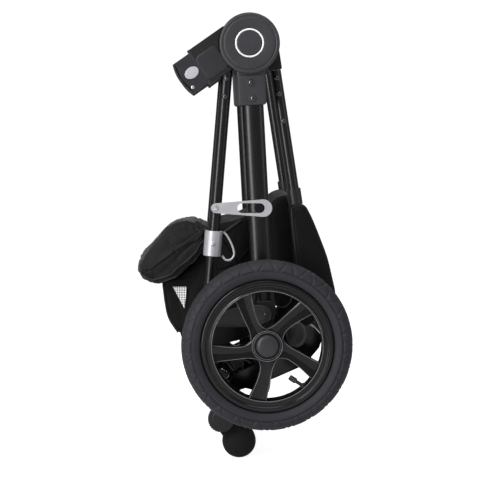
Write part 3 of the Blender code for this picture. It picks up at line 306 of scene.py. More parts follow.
def placed(name, shape, sharp):
    """An object of a bmesh, which is freed, smooth but for edges past an angle in degrees."""
    mesh = bpy.data.meshes.new(name)
    shape.to_mesh(mesh)
    shape.free()
    mesh.shade_smooth()
    mesh.set_sharp_from_angle(angle=math.radians(sharp))
    obj = bpy.data.objects.new(name, mesh)
    bpy.context.scene.collection.objects.link(obj)
    return obj


def grid_mesh(name, points, wrap_u=False, wrap_v=False, cap_u=False, sharp=35):
    """A mesh from a grid of points (u, v, xyz), joined end to end in u or v where it wraps.

    With cap_u the first and last rows in u are closed by a fan each.
    """
    rows, columns = points.shape[:2]
    vertices = points.reshape(-1, 3)
    u = np.arange(rows if wrap_u else rows - 1)
    v = np.arange(columns if wrap_v else columns - 1)
    uu, vv = np.meshgrid(u, v, indexing="ij")
    next_u = (uu + 1) % rows
    next_v = (vv + 1) % columns
    corners = [uu * columns + vv, next_u * columns + vv, next_u * columns + next_v,
               uu * columns + next_v]
    faces = np.stack(corners, axis=-1).reshape(-1, 4).tolist()
    if cap_u:
        count = len(vertices)
        vertices = np.vstack([vertices, points[0].mean(axis=0), points[-1].mean(axis=0)])
        ring = np.arange(columns)
        after = (ring + 1) % columns
        last = (rows - 1) * columns
        faces += np.stack([after, ring, np.full(columns, count)], axis=-1).tolist()
        faces += np.stack([last + ring, last + after, np.full(columns, count + 1)], axis=-1).tolist()
    raw = bpy.data.meshes.new("grid")
    raw.from_pydata(vertices.tolist(), [], faces)
    shape = bmesh.new()
    shape.from_mesh(raw)
    bpy.data.meshes.remove(raw)
    bmesh.ops.remove_doubles(shape, verts=shape.verts, dist=1e-7)
    bmesh.ops.recalc_face_normals(shape, faces=shape.faces)
    return placed(name, shape, sharp)


def merged(name, pieces, sharp=35):
    """One object of several meshes."""
    shape = bmesh.new()
    for piece in pieces:
        shape.from_mesh(piece.data)
        bpy.data.objects.remove(piece, do_unlink=True)
    return placed(name, shape, sharp)


def dress(obj, finish, body, slot, *nodes):
    """Gives a piece its finish and its body, and hides the solids that it stands for; slot is not used."""
    obj.data.materials.clear()
    obj.data.materials.append(FINISHES[finish])
    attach(obj, body)
    if nodes:
        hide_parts(*nodes)
    return obj


def eased(profile, radius=0.0012, steps=3):
    """A profile whose inner corners are rounded by a quadratic through each corner."""
    points = np.array(profile, dtype=float)
    out = [points[0]]
    for before, corner, after in zip(points, points[1:], points[2:]):
        back = before - corner
        ahead = after - corner
        reach = min(radius, np.linalg.norm(back) * 0.45, np.linalg.norm(ahead) * 0.45)
        start = corner + back / max(np.linalg.norm(back), 1e-9) * reach
        end = corner + ahead / max(np.linalg.norm(ahead), 1e-9) * reach
        for t in np.linspace(0, 1, steps + 1):
            out.append(start * (1 - t) ** 2 + corner * 2 * t * (1 - t) + end * t ** 2)
    out.append(points[-1])
    return np.array(out)


def round_turn(steps):
    """Angles of a full turn in equal steps, its end left out."""
    return np.linspace(0, 2 * math.pi, steps, endpoint=False)


def lathe(name, profile, x, z, side, steps=96, closed=False, sharp=35):
    """Turns a profile of (radius, distance from the middle plane) about an axis along Y."""
    profile = np.asarray(profile)
    turn = round_turn(steps)
    radius = profile[:, 0][None, :]
    points = np.empty((steps, len(profile), 3))
    points[..., 0] = x + np.cos(turn)[:, None] * radius
    points[..., 1] = side * profile[:, 1][None, :]
    points[..., 2] = z + np.sin(turn)[:, None] * radius
    return grid_mesh(name, points, wrap_u=True, wrap_v=closed, sharp=sharp)


def turned_ring(name, section, ease, x, z, side, steps):
    """A ring turned from a closed section with eased corners, its last point on its first."""
    return lathe(name, eased(section, ease)[:-1], x, z, side, steps, closed=True)


def frames_along(path):
    """Unit tangents of a path with two unit normals that don't twist about it."""
    tangent = np.gradient(path, axis=0)
    tangent /= np.linalg.norm(tangent, axis=1)[:, None]
    side = np.array([0.0, 1.0, 0.0]) if abs(tangent[0][1]) < 0.9 else np.array([0.0, 0.0, 1.0])
    normals = []
    for step in tangent:
        side = side - step * side.dot(step)
        side /= np.linalg.norm(side)
        normals.append(side.copy())
    normals = np.array(normals)
    return tangent, normals, np.cross(tangent, normals)


def pipe(name, path, deep, wide, sides=32, sharp=35):
    """A bar of oval section along a path; deep is its radius across Y and wide its other radius."""
    path = np.asarray(path, dtype=float)
    _, first, second = frames_along(path)
    turn = round_turn(sides)
    deep = np.broadcast_to(np.asarray(deep, dtype=float), (len(path),))
    wide = np.broadcast_to(np.asarray(wide, dtype=float), (len(path),))
    points = (path[:, None, :]
              + first[:, None, :] * (np.cos(turn)[None, :] * deep[:, None])[..., None]
              + second[:, None, :] * (np.sin(turn)[None, :] * wide[:, None])[..., None])
    return grid_mesh(name, points, wrap_v=True, cap_u=True, sharp=sharp)


def span(a, b, c, d, steps):
    """Points of a Catmull-Rom spline from b up to c, which is left out."""
    t = np.linspace(0, 1, steps, endpoint=False)[:, None]
    return 0.5 * (2 * b + (c - a) * t + (2 * a - 5 * b + 4 * c - d) * t ** 2
                  + (3 * b - a - 3 * c + d) * t ** 3)


def curve_through(knots, steps=10):
    """Points on a smooth curve through knots, ends included."""
    knots = np.asarray(knots, dtype=float)
    padded = np.vstack([2 * knots[0] - knots[1], knots, 2 * knots[-1] - knots[-2]])
    spans = [span(*padded[i:i + 4], steps) for i in range(len(padded) - 3)]
    return np.vstack([*spans, padded[-2][None, :]])


def loop_through(knots, steps=6):
    """A closed smooth loop through knots."""
    knots = np.asarray(knots, dtype=float)
    around = [[knots[(i + k) % len(knots)] for k in (-1, 0, 1, 2)] for i in range(len(knots))]
    return np.vstack([span(*four, steps) for four in around])


def loop_normals(loop):
    """Outward unit normals of a closed loop in the XZ plane."""
    following = np.roll(loop, -1, axis=0)
    ahead = following - np.roll(loop, 1, axis=0)
    normal = np.stack([ahead[:, 1], -ahead[:, 0]], axis=1)
    normal /= np.linalg.norm(normal, axis=1)[:, None] + 1e-12
    area = np.sum(loop[:, 0] * following[:, 1] - following[:, 0] * loop[:, 1])
    return normal if area > 0 else -normal


def stacked(name, loop, rings, sharp):
    """A closed skin over rings of (y, how far the loop is drawn in, its pull towards its middle)."""
    loop = np.asarray(loop, dtype=float)
    normal = loop_normals(loop)
    centre = loop.mean(axis=0)
    points = np.empty((len(rings), len(loop), 3))
    for row, (y, draw, pull) in enumerate(rings):
        flat = loop - normal * draw
        points[row, :, ::2] = flat + (centre - flat) * pull
        points[row, :, 1] = y
    return grid_mesh(name, points, wrap_v=True, cap_u=True, sharp=sharp)


def soft_block(name, loop, y_low, y_high, edge, crown=0.0, steps=6, sharp=50):
    """An outline carried across Y, with round edges and faces that may bulge by crown.

    Each ring is the loop drawn in by an amount that follows a quarter circle at both ends.
    """
    quarter = np.linspace(0, math.pi / 2, steps)
    inset = edge * (1 - np.sin(quarter))
    shift = edge * (1 - np.cos(quarter))
    pulls = (0.25, 0.5, 0.75, 0.93)
    rings = [(y_low - crown * (1 - (1 - k) ** 2), edge, k) for k in pulls[::-1]]
    rings += [(y_low + s, i, 0.0) for s, i in zip(shift, inset)]
    rings += [(y_high - s, i, 0.0) for s, i in zip(shift[::-1], inset[::-1])]
    rings += [(y_high + crown * (1 - (1 - k) ** 2), edge, k) for k in pulls]
    return stacked(name, loop, rings, sharp)


def from_point(point, angle, distance, across=0.0):
    """The (x, z) at a distance along a direction from a point, and across it to its left."""
    return (point[0] + distance * math.cos(angle) - across * math.sin(angle),
            point[-1] + distance * math.sin(angle) + across * math.cos(angle))


REAR = middle("rear_tyre_right")
REAR_R = extent("rear_tyre_right")[2] / 2
HUB = middle("hub_cap_right")
HUB_R = extent("hub_cap_right")[2] / 2


def tyre(name, x, z, y, bead, outer, half, blocks, tread_from, steps, groove=0.0012):
    """A tyre turned from a rounded section, with a zigzag of grooves pressed into tread and shoulders.

    With w the saw-tooth of the angle, blocks to a turn, and h the height from tread_from to the crown,
    a groove runs where |w - 1/2| = 0.10 + 0.30 h. Ring grooves lie at tread_from and on both halves of
    the tread.
    """
    height = outer - bead
    knots = np.array([
        (0.00, -0.72), (0.10, -0.86), (0.26, -0.965), (0.38, -0.995), (0.41, -0.955), (0.44, -0.995),
        (0.52, -1.00), (0.66, -0.95), (0.80, -0.80), (0.90, -0.60), (0.965, -0.36), (0.995, -0.12),
    ])
    half_loop = np.vstack([knots, knots[::-1] * (1, -1)])
    fine = curve_through(np.column_stack([half_loop, np.zeros(len(half_loop))]), 3)[:, :2]
    radius = bead + np.clip(fine[:, 0], 0, 1) * height
    across = fine[:, 1] * half
    back = np.linspace(1, 0, 7)[1:-1]
    radius = np.concatenate([radius, np.full(5, bead)])
    across = np.concatenate([across, (back * 2 - 1) * half * 0.72])
    turn = round_turn(steps)[:, None]
    share = across[None, :] / half
    rise = np.clip((radius - tread_from) / (outer - tread_from), 0, 1)[None, :]
    wave = (turn * blocks / (2 * math.pi) + 0.5 * (share > 0)) % 1.0
    apart = np.abs(np.abs(wave - 0.5) - 0.10 - 0.30 * rise) * 2 * math.pi * radius[None, :] / blocks
    slant = np.clip(1.6 - apart / 0.0017, 0, 1) * (rise > 0.02)
    shoulder_ring = np.clip(1.5 - np.abs(radius[None, :] - tread_from) / 0.0008, 0, 1)
    tread_rings = np.clip(1 - np.abs(np.abs(share) - 0.34) / 0.06, 0, 1) * (rise > 0.5)
    depth = groove * np.clip(slant + shoulder_ring + tread_rings, 0, 1)
    flank = np.clip((np.abs(share) - 0.55) / 0.30, 0, 1)
    pressed = radius[None, :] - depth * (1 - flank)
    points = np.empty((steps, len(radius), 3))
    points[..., 0] = x + np.cos(turn) * pressed
    points[..., 1] = y + across[None, :] - np.sign(share) * depth * flank
    points[..., 2] = z + np.sin(turn) * pressed
    return grid_mesh(name, points, wrap_u=True, wrap_v=True, sharp=50)


def spoke_course(t, inner, outer, waist, flare, twist):
    """Radius, half width and lean of a spoke at shares t of its way from the hub to the rim.

    Its half width is waist + flare * (t - 0.35)^1.6 past t = 0.35, wider by up to 12 mm below t = 0.34, and
    it leans back by twist * (1 - t)^1.4.
    """
    radius = inner + (outer - inner) * t
    half = waist + flare * np.clip(t - 0.35, 0, 1) ** 1.6 + 0.012 * np.clip(1 - t / 0.34, 0, 1) ** 2
    return radius, half, twist * (1 - t) ** 1.4


def spoke(x, z, y, side, angle, deep, channel, **course):
    """A spoke along a radius: waisted sides, flared ends and a channel down its outer face."""
    radius, half, lean = spoke_course(np.linspace(0, 1, 26), **course)
    lean = angle + lean
    around = np.linspace(-1, 1, 15)
    rim_edge = np.clip(1 - (1 - np.abs(around)) / 0.14, 0, 1)
    top = deep / 2 - 0.0012 * rim_edge ** 2 - channel * np.clip(1 - np.abs(around) / 0.86, 0, 1) ** 0.8
    under = -deep / 2 + 0.0012 * rim_edge
    across = np.concatenate([around, around[::-1]])
    height = np.concatenate([top, under])
    points = np.empty((len(radius), len(across), 3))
    wide = half[:, None] * across[None, :]
    points[..., 0] = x + np.cos(lean)[:, None] * radius[:, None] - np.sin(lean)[:, None] * wide
    points[..., 1] = side * (y + height[None, :])
    points[..., 2] = z + np.sin(lean)[:, None] * radius[:, None] + np.cos(lean)[:, None] * wide
    return grid_mesh("spoke", points, wrap_v=True, cap_u=True, sharp=38)


def spoke_highlight_lines(x, z, y, side, angle, deep, **course):
    """Thin strips down both sides of a spoke, just inside the curves of its sides, in a light finish that
    paints a highlight along its edges.
    """
    radius, half, lean = spoke_course(np.linspace(0.09, 0.985, 22), **course)
    half = half - 0.0010
    lean = angle + lean
    edges = []
    for sign in (-1, 1):
        path = np.empty((len(radius), 3))
        path[:, 0] = x + np.cos(lean) * radius - np.sin(lean) * half * sign
        path[:, 1] = side * (y + deep / 2 - 0.0007)
        path[:, 2] = z + np.sin(lean) * radius + np.cos(lean) * half * sign
        thick = 0.00075 * np.sin(np.linspace(0.25, math.pi - 0.25, len(radius))) ** 0.5
        edges.append(pipe("edge", path, thick, thick, 10))
    return edges


def bead_ring(radius, y, thick, x, z, side):
    """A thin ring of round section about the line along Y through (x, z)."""
    section = [(radius + thick * math.cos(a), y + thick * math.sin(a)) for a in round_turn(12)]
    return lathe("bead", section, x, z, side, 160, closed=True)


VALVE_ROOT_TURN = math.radians(-48.5)
VALVE_TIP_TURN = math.radians(-55)
VALVE_TIP_REACH = 0.067


def valve(name, x, z, y, side, root_reach):
    """Valve stem from the rim towards the hub: threaded end, thin stem and thick foot."""
    root_x, root_z = from_point((x, z), VALVE_ROOT_TURN, root_reach)
    tip_x, tip_z = from_point((x, z), VALVE_TIP_TURN, VALVE_TIP_REACH)
    path = np.linspace((tip_x, side * y, tip_z), (root_x, side * y, root_z), 40)
    along = np.linspace(0, 1, 40)
    places = (0, 0.04, 0.42, 0.46, 0.80, 0.84, 0.96, 1)
    radii = (0.0040, 0.0047, 0.0050, 0.0030, 0.0030, 0.0054, 0.0054, 0.0040)
    thread = 0.0003 * np.sin(along * 160) * (along < 0.42)
    radius = np.interp(along, places, radii) + thread
    return pipe(name, path, radius, radius, 24)


def wheel_dome(name, x, z, y, side):
    """Domed cap over a rear wheel's axle pocket, with the pocket's floor."""
    cap_r = extent("wheel_cap_right")[2] / 2
    top = y + extent("wheel_cap_right")[1] + 0.0088
    foot = y + 0.0092
    dome = [(0.0066, foot), (cap_r - 0.0002, foot)]
    dome += [(cap_r * math.cos(a) ** 0.55, top - 0.0062 + 0.0060 * math.sin(a))
             for a in np.linspace(0, math.pi / 2, 12)]
    cap = lathe(name, [*dome, (0.0, top - 0.0002)], x, z, side, 72)
    floor_y = y + 0.0176
    closed = lathe("cap_floor", [(0.0, floor_y), (0.0066, floor_y), (0.0066, foot)], x, z, side, 72)
    return merged(name, [cap, closed])


def rear_wheels():
    """Tyre, rim with five channelled spokes, painted highlights along spoke edges and rim lips, valve, and
    domed cap of both rear wheels.
    """
    x, _, z = REAR
    bead = extent("rear_rim_right")[2] / 2
    inner = bead - 0.0204
    course = dict(inner=0.016, outer=inner + 0.003, waist=0.0108, flare=0.0105, twist=0.24)
    deep = 0.0175
    turns = [math.radians(44 + 72 * k) for k in range(5)]
    for name, side in SIDES:
        y = abs(middle("rear_tyre_" + name)[1])
        half = extent("rear_tyre_" + name)[1] / 2
        body = "rear_wheel_" + name
        made = tyre("tyre_rear_" + name, x, z, side * y, bead + 0.0003, REAR_R, half, 24, bead + 0.0150,
                    960, 0.0015)
        dress(made, "rubber", body, "rubber", "rear_tyre_" + name)
        ring = turned_ring("rim_ring", [
            (inner, y - 0.018), (bead - 0.003, y - 0.018), (bead, y - 0.016), (bead, y + 0.016),
            (bead - 0.003, y + 0.0185), (bead - 0.0085, y + 0.0185), (bead - 0.0105, y + 0.0160),
            (inner + 0.0045, y + 0.0160), (inner + 0.0018, y + 0.0180), (inner, y + 0.0165),
            (inner, y - 0.018),
        ], 0.0011, x, z, side, 160)
        hub = turned_ring("rim_hub", [
            (0.0066, y - 0.024), (0.0235, y - 0.024), (0.0235, y + 0.0090), (0.0255, y + 0.0100),
            (0.0265, y + 0.0125), (0.0252, y + 0.0138), (0.0238, y + 0.0122), (0.0222, y + 0.0122),
            (0.0216, y + 0.0148), (0.0204, y + 0.0148), (0.0200, y + 0.0085), (0.0066, y + 0.0085),
            (0.0066, y - 0.024),
        ], 0.0006, x, z, side, 96)
        spokes = [spoke(x, z, y, side, turn, deep, 0.0020, **course) for turn in turns]
        # Thin rings on the lips of rim and hub, in the light edge finish as painted highlights.
        highlight_beads = ((inner + 0.0010, 0.0172, 0.0008), (bead - 0.0098, 0.0162, 0.0005),
                 (0.0258, 0.0136, 0.0007), (0.0229, 0.0122, 0.0007))
        highlight_lines = [bead_ring(radius, y + rise, thick, x, z, side) for radius, rise, thick in highlight_beads]
        for turn in turns:
            highlight_lines += spoke_highlight_lines(x, z, y, side, turn, deep, **course)
        # The edge finish paints highlights along these rings and the spoke edges.
        dress(merged("rim_edges_" + name, highlight_lines), "edge", body, "rim_plastic")
        dress(valve("valve_" + name, x, z, y, side, inner + 0.002), "cap", body, "rubber")
        wheel = merged("rim_rear_" + name, [ring, hub, *spokes])
        dress(wheel, "rim", body, "rim_plastic", "rear_rim_" + name)
        dome = wheel_dome("cap_rear_" + name, x, z, y, side)
        dress(dome, "cap", body, "hub_plastic", "wheel_cap_" + name)


def front_wheels():
    """Tyre and swirl-spoked rim of both casters."""
    for name, side in SIDES:
        box = extent("front_tyre_" + name)
        x, y, z = middle("front_tyre_" + name)
        y = abs(y)
        outer = box[2] / 2
        bead = outer - 0.0148
        body = "front_wheel_" + name
        made = tyre("tyre_front_" + name, x, z, side * y, bead, outer, box[1] / 2, 14, bead + 0.0062,
                    420, 0.0008)
        dress(made, "rubber", body, "rubber", "front_tyre_" + name)
        ring = turned_ring("rim_ring", [
            (bead - 0.0063, y - 0.0115), (bead - 0.0004, y - 0.0115), (bead - 0.0004, y + 0.0115),
            (bead - 0.0063, y + 0.0120), (bead - 0.0063, y - 0.0115),
        ], 0.001, x, z, side, 96)
        hub = turned_ring("rim_hub", [
            (0.0048, y - 0.0155), (0.0130, y - 0.0155), (0.0130, y + 0.0120), (0.0110, y + 0.0155),
            (0.0048, y + 0.0155), (0.0048, y - 0.0155),
        ], 0.001, x, z, side, 48)
        course = dict(inner=0.009, outer=bead - 0.004, waist=0.0062, flare=0.0080, twist=-0.30)
        turns = [math.radians(58 + 72 * k) for k in range(5)]
        spokes = [spoke(x, z, y, side, turn, 0.0120, 0.0030, **course) for turn in turns]
        wheel = merged("rim_front_" + name, [ring, hub, *spokes])
        dress(wheel, "rim", body, "rim_plastic", "front_rim_" + name)


def hub_caps():
    """Stepped cap, bright ring and centre of both hubs."""
    x, _, z = HUB
    step_r = HUB_R * 0.86
    ring_r = extent("hub_ring_right")[2] / 2
    centre_r = extent("hub_centre_right")[2] / 2
    for name, side in SIDES:
        inner, outer = sorted((abs(low("hub_cap_" + name)[1]), abs(high("hub_cap_" + name)[1])))
        profile = eased([
            (0.0, inner), (HUB_R - 0.0015, inner), (HUB_R, inner + 0.0015), (HUB_R, outer - 0.0042),
            (HUB_R - 0.0022, outer - 0.0024), (step_r + 0.0020, outer - 0.0020),
            (step_r + 0.0004, outer - 0.0028), (step_r - 0.0008, outer - 0.0004), (step_r - 0.0034, outer),
            (ring_r + 0.0012, outer), (ring_r + 0.0003, outer - 0.0018), (0.0, outer - 0.0018),
        ], 0.0009)
        cap = lathe("cap_hub_" + name, profile, x, z, side, 160)
        dress(cap, "hub", "rear_frame", "hub_plastic", "hub_cap_" + name)
        base = outer - 0.0016
        ring = turned_ring("ring_hub_" + name, [
            (centre_r + 0.0002, base), (ring_r, base), (ring_r - 0.0002, outer + 0.0004),
            (ring_r - 0.0010, outer + 0.0008), (centre_r + 0.0008, outer + 0.0006),
            (centre_r + 0.0002, outer + 0.0001), (centre_r + 0.0002, base),
        ], 0.0004, x, z, side, 128)
        dress(ring, "ring", "rear_frame", "silver", "hub_ring_" + name)
        face = eased([
            (0.0, base), (centre_r, base), (centre_r - 0.0001, outer - 0.0002),
            (centre_r - 0.0012, outer + 0.0001), (0.0, outer + 0.0006),
        ], 0.0006)
        disc = lathe("centre_hub_" + name, face, x, z, side, 96)
        dress(disc, "hub", "rear_frame", "hub_plastic", "hub_centre_" + name)


REAR_ANGLE = math.atan2(REAR[2] - HUB[2], REAR[0] - HUB[0])
REAR_LENGTH = math.hypot(REAR[2] - HUB[2], REAR[0] - HUB[0])
HANDLE_ANGLE = -math.pi / 2 - math.radians(4.7)
FRONT_ANGLE = -math.pi / 2 + math.radians(8.8)
ADAPTER_ANGLE = math.radians(215)
LEG_Y = abs(middle("rear_tube_right")[1])
HANDLE_Y = abs(middle("handle_tube_right")[1])
FRONT_Y = abs(middle("front_tube_right")[1])
KNUCKLE = middle("grip_knuckle_right")
HANDLE_OFFSET = -0.0346
FRONT_OFFSET = 0.0390
ADAPTER_OFFSET = -0.0153
ROUND_TUBE_R = 0.0100
LEG_RADII = (0.0120, 0.0190)


def on_rear(distance, across=0.0):
    """A point on a rear leg's axis, from the hub."""
    return from_point(HUB, REAR_ANGLE, distance, across)


def on_handle(distance, across=0.0):
    """A point on a handle tube's axis, level with the hub at 0."""
    return from_point(HUB, HANDLE_ANGLE, distance, across + HANDLE_OFFSET)


def on_front(distance, across=0.0):
    """A point on a front tube's axis, level with the hub at 0."""
    return from_point(HUB, FRONT_ANGLE, distance, across + FRONT_OFFSET)


def on_adapter(distance, across=0.0):
    """A point on a seat adapter's axis, from the hub."""
    return from_point(HUB, ADAPTER_ANGLE, distance, across + ADAPTER_OFFSET)


def lifted(points, y):
    """Points of (x, z) in a plane of constant Y."""
    return np.array([(x, y, z) for x, z in points])


def softened(name, node, edge, segments, angle=32):
    """A copy of a solid with rounded edges between flat-shaded faces."""
    shape = bmesh.new()
    shape.from_mesh(frame["nodes"][node].data)
    bmesh.ops.remove_doubles(shape, verts=shape.verts, dist=2e-6)
    bmesh.ops.dissolve_limit(shape, angle_limit=math.radians(1.2), verts=shape.verts, edges=shape.edges)
    mesh = bpy.data.meshes.new(name)
    shape.to_mesh(mesh)
    shape.free()
    mesh.shade_smooth()
    obj = bpy.data.objects.new(name, mesh)
    bpy.context.scene.collection.objects.link(obj)
    bevel = obj.modifiers.new("edges", "BEVEL")
    bevel.width = edge
    bevel.segments = segments
    bevel.limit_method = "ANGLE"
    bevel.angle_limit = math.radians(angle)
    bevel.miter_outer = "MITER_ARC"
    normals = obj.modifiers.new("normals", "WEIGHTED_NORMAL")
    normals.weight = 60
    bpy.context.view_layer.update()
    done = bpy.data.meshes.new_from_object(obj.evaluated_get(bpy.context.evaluated_depsgraph_get()))
    obj.modifiers.clear()
    obj.data = done
    return obj


def kept(name, node, edge, finish, body, slot, segments=3):
    """A solid shown as it is, with rounded edges."""
    return dress(softened(name, node, edge, segments), finish, body, slot, node)


def to_side(obj, side):
    """Mirrors a piece made for the left side where side is -1."""
    if side < 0:
        obj.data.transform(Matrix.Diagonal((1, -1, 1, 1)))
        obj.data.flip_normals()
    return obj


def dome_rivet(x, z, face, side, radius, height):
    """A round-headed rivet on a face that looks along Y."""
    t = np.linspace(0, math.pi / 2, 8)
    foot = face + 0.0003
    round_head = [(radius * math.cos(a), foot + height * math.sin(a)) for a in t[:-1]]
    profile = [(0.0, face - 0.002), (radius, face - 0.002), *round_head, (0.0, foot + height)]
    return lathe("rivet", profile, x, z, side, 32)


def box_loop(point_at, near, far, half, radius, steps=5):
    """A rounded rectangle along a leg's axis, as a closed (x, z) loop."""
    corners = ((near, half), (far, half), (far, -half), (near, -half))
    middle_along = (near + far) / 2
    loop = []
    for index, (along, across) in enumerate(corners):
        centre_along = along - math.copysign(radius, along - middle_along)
        centre_across = across - math.copysign(radius, across)
        start = math.pi * (1 - index / 2)
        for t in np.linspace(start, start - math.pi / 2, steps):
            loop.append(point_at(centre_along + radius * math.cos(t), centre_across + radius * math.sin(t)))
    return np.array(loop)


def oval_loop(centre, angle, along, across, steps):
    """An oval about a point, with its radii along a direction and across it, as a closed (x, z) loop."""
    return np.array([from_point(centre, angle, along * math.cos(a), across * math.sin(a))
                     for a in round_turn(steps)])


BRACKET = [
    (-0.0520, 0.2470), (-0.0440, 0.2560), (-0.0260, 0.2680), (0.0000, 0.2750), (0.0280, 0.2760),
    (0.0430, 0.2700), (0.0480, 0.2590), (0.0430, 0.2480), (0.0280, 0.2420), (0.0080, 0.2385),
    (-0.0240, 0.2380), (-0.0480, 0.2400),
]
BRACKET_LIP = [
    (0.0080, 0.2700), (0.0290, 0.2700), (0.0385, 0.2665), (0.0415, 0.2590), (0.0375, 0.2515),
    (0.0240, 0.2470), (0.0060, 0.2500),
]
BRACKET_RIVET = (0.0360, 0.2606)


def leg_socket(name, side, spots):
    """A rear leg's socket: disc in the hub, collar round the tube, and a raised panel with rivet pads."""
    disc_r = HUB_R - 0.0043
    inner, outer = LEG_Y - 0.0134, LEG_Y + 0.0134
    profile = eased([(0.0, inner), (disc_r, inner), (disc_r, outer), (0.0, outer)], 0.0012)
    disc = lathe("disc", profile, HUB[0], HUB[2], side, 128)
    collar_loop = box_loop(on_rear, 0.030, 0.1070, 0.02435, 0.0060)
    collar = soft_block("collar", collar_loop, LEG_Y - 0.0150, LEG_Y + 0.0134, 0.0022)
    panel_loop = box_loop(on_rear, 0.0545, 0.1062, 0.0235, 0.0056)
    raised = soft_block("raised", panel_loop, LEG_Y, LEG_Y + 0.0150, 0.0018)
    foot, face = LEG_Y + 0.0146, LEG_Y + 0.0154
    pad = eased([(0.0, foot), (0.0068, foot), (0.0064, face), (0.0, face)], 0.0004)
    pads = [lathe("pad", pad, x, z, side, 32) for x, z in spots]
    return merged("socket_" + name, [disc, to_side(collar, side), to_side(raised, side), *pads])


def rear_legs():
    """Socket with its rivets, oval tube, axle housing and bracket of both rear legs."""
    spots = [on_rear(0.0676, -0.0010), on_rear(0.0950, 0.0010)]
    for name, side in SIDES:
        socket = leg_socket(name, side, spots)
        dress(socket, "hub", "rear_frame", "hub_plastic", "rear_socket_" + name)
        heads = [dome_rivet(x, z, LEG_Y + 0.0152, side, 0.0054, 0.0030) for x, z in spots]
        dress(merged("collar_rivets_" + name, heads), "rivet", "rear_frame", "black_plastic")
        path = lifted([on_rear(d) for d in np.linspace(0.056, REAR_LENGTH - 0.044, 40)], side * LEG_Y)
        leg = pipe("leg_" + name, path, *LEG_RADII, 64)
        dress(leg, "paint", "rear_frame", "black_paint", "rear_tube_" + name)
        plate_loop, lip_loop = loop_through(BRACKET, 8), loop_through(BRACKET_LIP, 6)
        plate = soft_block("bracket", plate_loop, LEG_Y + 0.0130, LEG_Y + 0.0186, 0.0028, 0.0010)
        lip = soft_block("bracket_lip", lip_loop, LEG_Y + 0.0150, LEG_Y + 0.0204, 0.0014)
        plate, lip = to_side(plate, side), to_side(lip, side)
        kept("housing_" + name, "axle_housing_" + name, 0.0012, "plastic", "rear_frame", "black_plastic")
        dress(merged("bracket_" + name, [plate, lip]), "bracket", "rear_frame", "black_plastic")
        rivet = dome_rivet(*BRACKET_RIVET, LEG_Y + 0.0180, side, 0.0044, 0.0022)
        dress(merged("bracket_rivet_" + name, [rivet]), "steel", "rear_frame", "silver")


def handle_sides():
    """Hub joint with its adapter, tube and ribbed knuckle of both sides of the handle."""
    for name, side in SIDES:
        kept("joint_" + name, "handle_joint_" + name, 0.0014, "plastic", "handle", "black_plastic")
        kept("adapter_" + name, "adapter_end_" + name, 0.0016, "adapter", "handle", "black_plastic")
        dress(adapter_trim(name, side), "adapter", "handle", "black_plastic")
        oval = oval_loop(on_adapter(0.1105), ADAPTER_ANGLE, 0.0133, 0.0098, 48)
        face = LEG_Y + 0.0125
        button = soft_block("button_" + name, oval, face - 0.0056, face + 0.0020, 0.0016, 0.0006)
        body = "seat_button_" + name
        dress(to_side(button, side), "button", body, "button_grey", "adapter_button_" + name)
        pin_x, pin_z = on_adapter(0.1235, 0.0215)
        dress(dome_rivet(pin_x, pin_z, face, side, 0.0030, 0.0008), "steel", "handle", "silver")
        knots = [on_handle(0.048), on_handle(0.16), on_handle(0.32), on_handle(0.48)]
        x, z = on_handle(0.54)
        knots += [(x + 0.003, z), (KNUCKLE[0] - 0.0130, KNUCKLE[2] + 0.052),
                  (KNUCKLE[0] - 0.0046, KNUCKLE[2] + 0.0215)]
        path = curve_through(lifted(knots, side * HANDLE_Y), 10)
        tube = pipe("handle_" + name, path, ROUND_TUBE_R, ROUND_TUBE_R, 40)
        dress(tube, "paint", "handle", "black_paint", "handle_tube_" + name)
        knuckle = ribbed_knuckle("knuckle_" + name, side)
        dress(knuckle, "plastic", "handle", "black_plastic", "grip_knuckle_" + name)


def adapter_trim(name, side):
    """Raised panel and lip on the adapter's sleeve, and the band round its end."""
    panel_loop = box_loop(lambda a, b: on_adapter(a, b + 0.0050), 0.0500, 0.0930, 0.0230, 0.0080)
    panel = soft_block("panel", panel_loop, LEG_Y + 0.0100, LEG_Y + 0.0140, 0.0016)
    lip_loop = box_loop(on_adapter, 0.0910, 0.0965, 0.0352, 0.0012)
    lip = soft_block("lip", lip_loop, LEG_Y - 0.0080, LEG_Y + 0.0134, 0.0010)
    half = 0.0285
    outer = [on_adapter(0.1300 + 0.0055 * (1 - (b / half) ** 2), b) for b in np.linspace(-half, half, 20)]
    inner = [on_adapter(0.1262 + 0.0050 * (1 - (b / half) ** 2), b) for b in np.linspace(half, -half, 20)]
    band = soft_block("band", outer + inner, LEG_Y + 0.0080, LEG_Y + 0.0133, 0.0007)
    pieces = [to_side(piece, side) for piece in (panel, lip, band)]
    return merged("adapter_trim_" + name, pieces)


def ribbed_knuckle(name, side):
    """A disc with rounded ribs round its edge, notched between them by the sixth power of a cosine."""
    steps = 360
    turn = round_turn(steps)
    outer = extent("grip_knuckle_right")[2] / 2
    notch = 0.0011 * np.abs(np.cos(turn * 15)) ** 6
    half = [(outer, 0.0080), (outer - 0.0012, 0.0092), (0.0158, 0.0092), (0.0150, 0.0100), (0.0, 0.0100)]
    profile = eased([(radius, -y) for radius, y in half[::-1]] + half, 0.0006)
    points = np.empty((steps, len(profile), 3))
    share = np.clip((profile[:, 0] - 0.0160) / 0.004, 0, 1)
    radius = profile[:, 0][None, :] - notch[:, None] * share[None, :]
    points[..., 0] = KNUCKLE[0] + np.cos(turn)[:, None] * radius
    points[..., 1] = side * (HANDLE_Y + profile[:, 1][None, :])
    points[..., 2] = KNUCKLE[2] + np.sin(turn)[:, None] * radius
    return grid_mesh(name, points, wrap_u=True)


GRIP_END_R = 0.0298
GRIP_WAIST_R = 0.0185
GRIP_X = -0.0075
GRIP_ROUND = 0.024


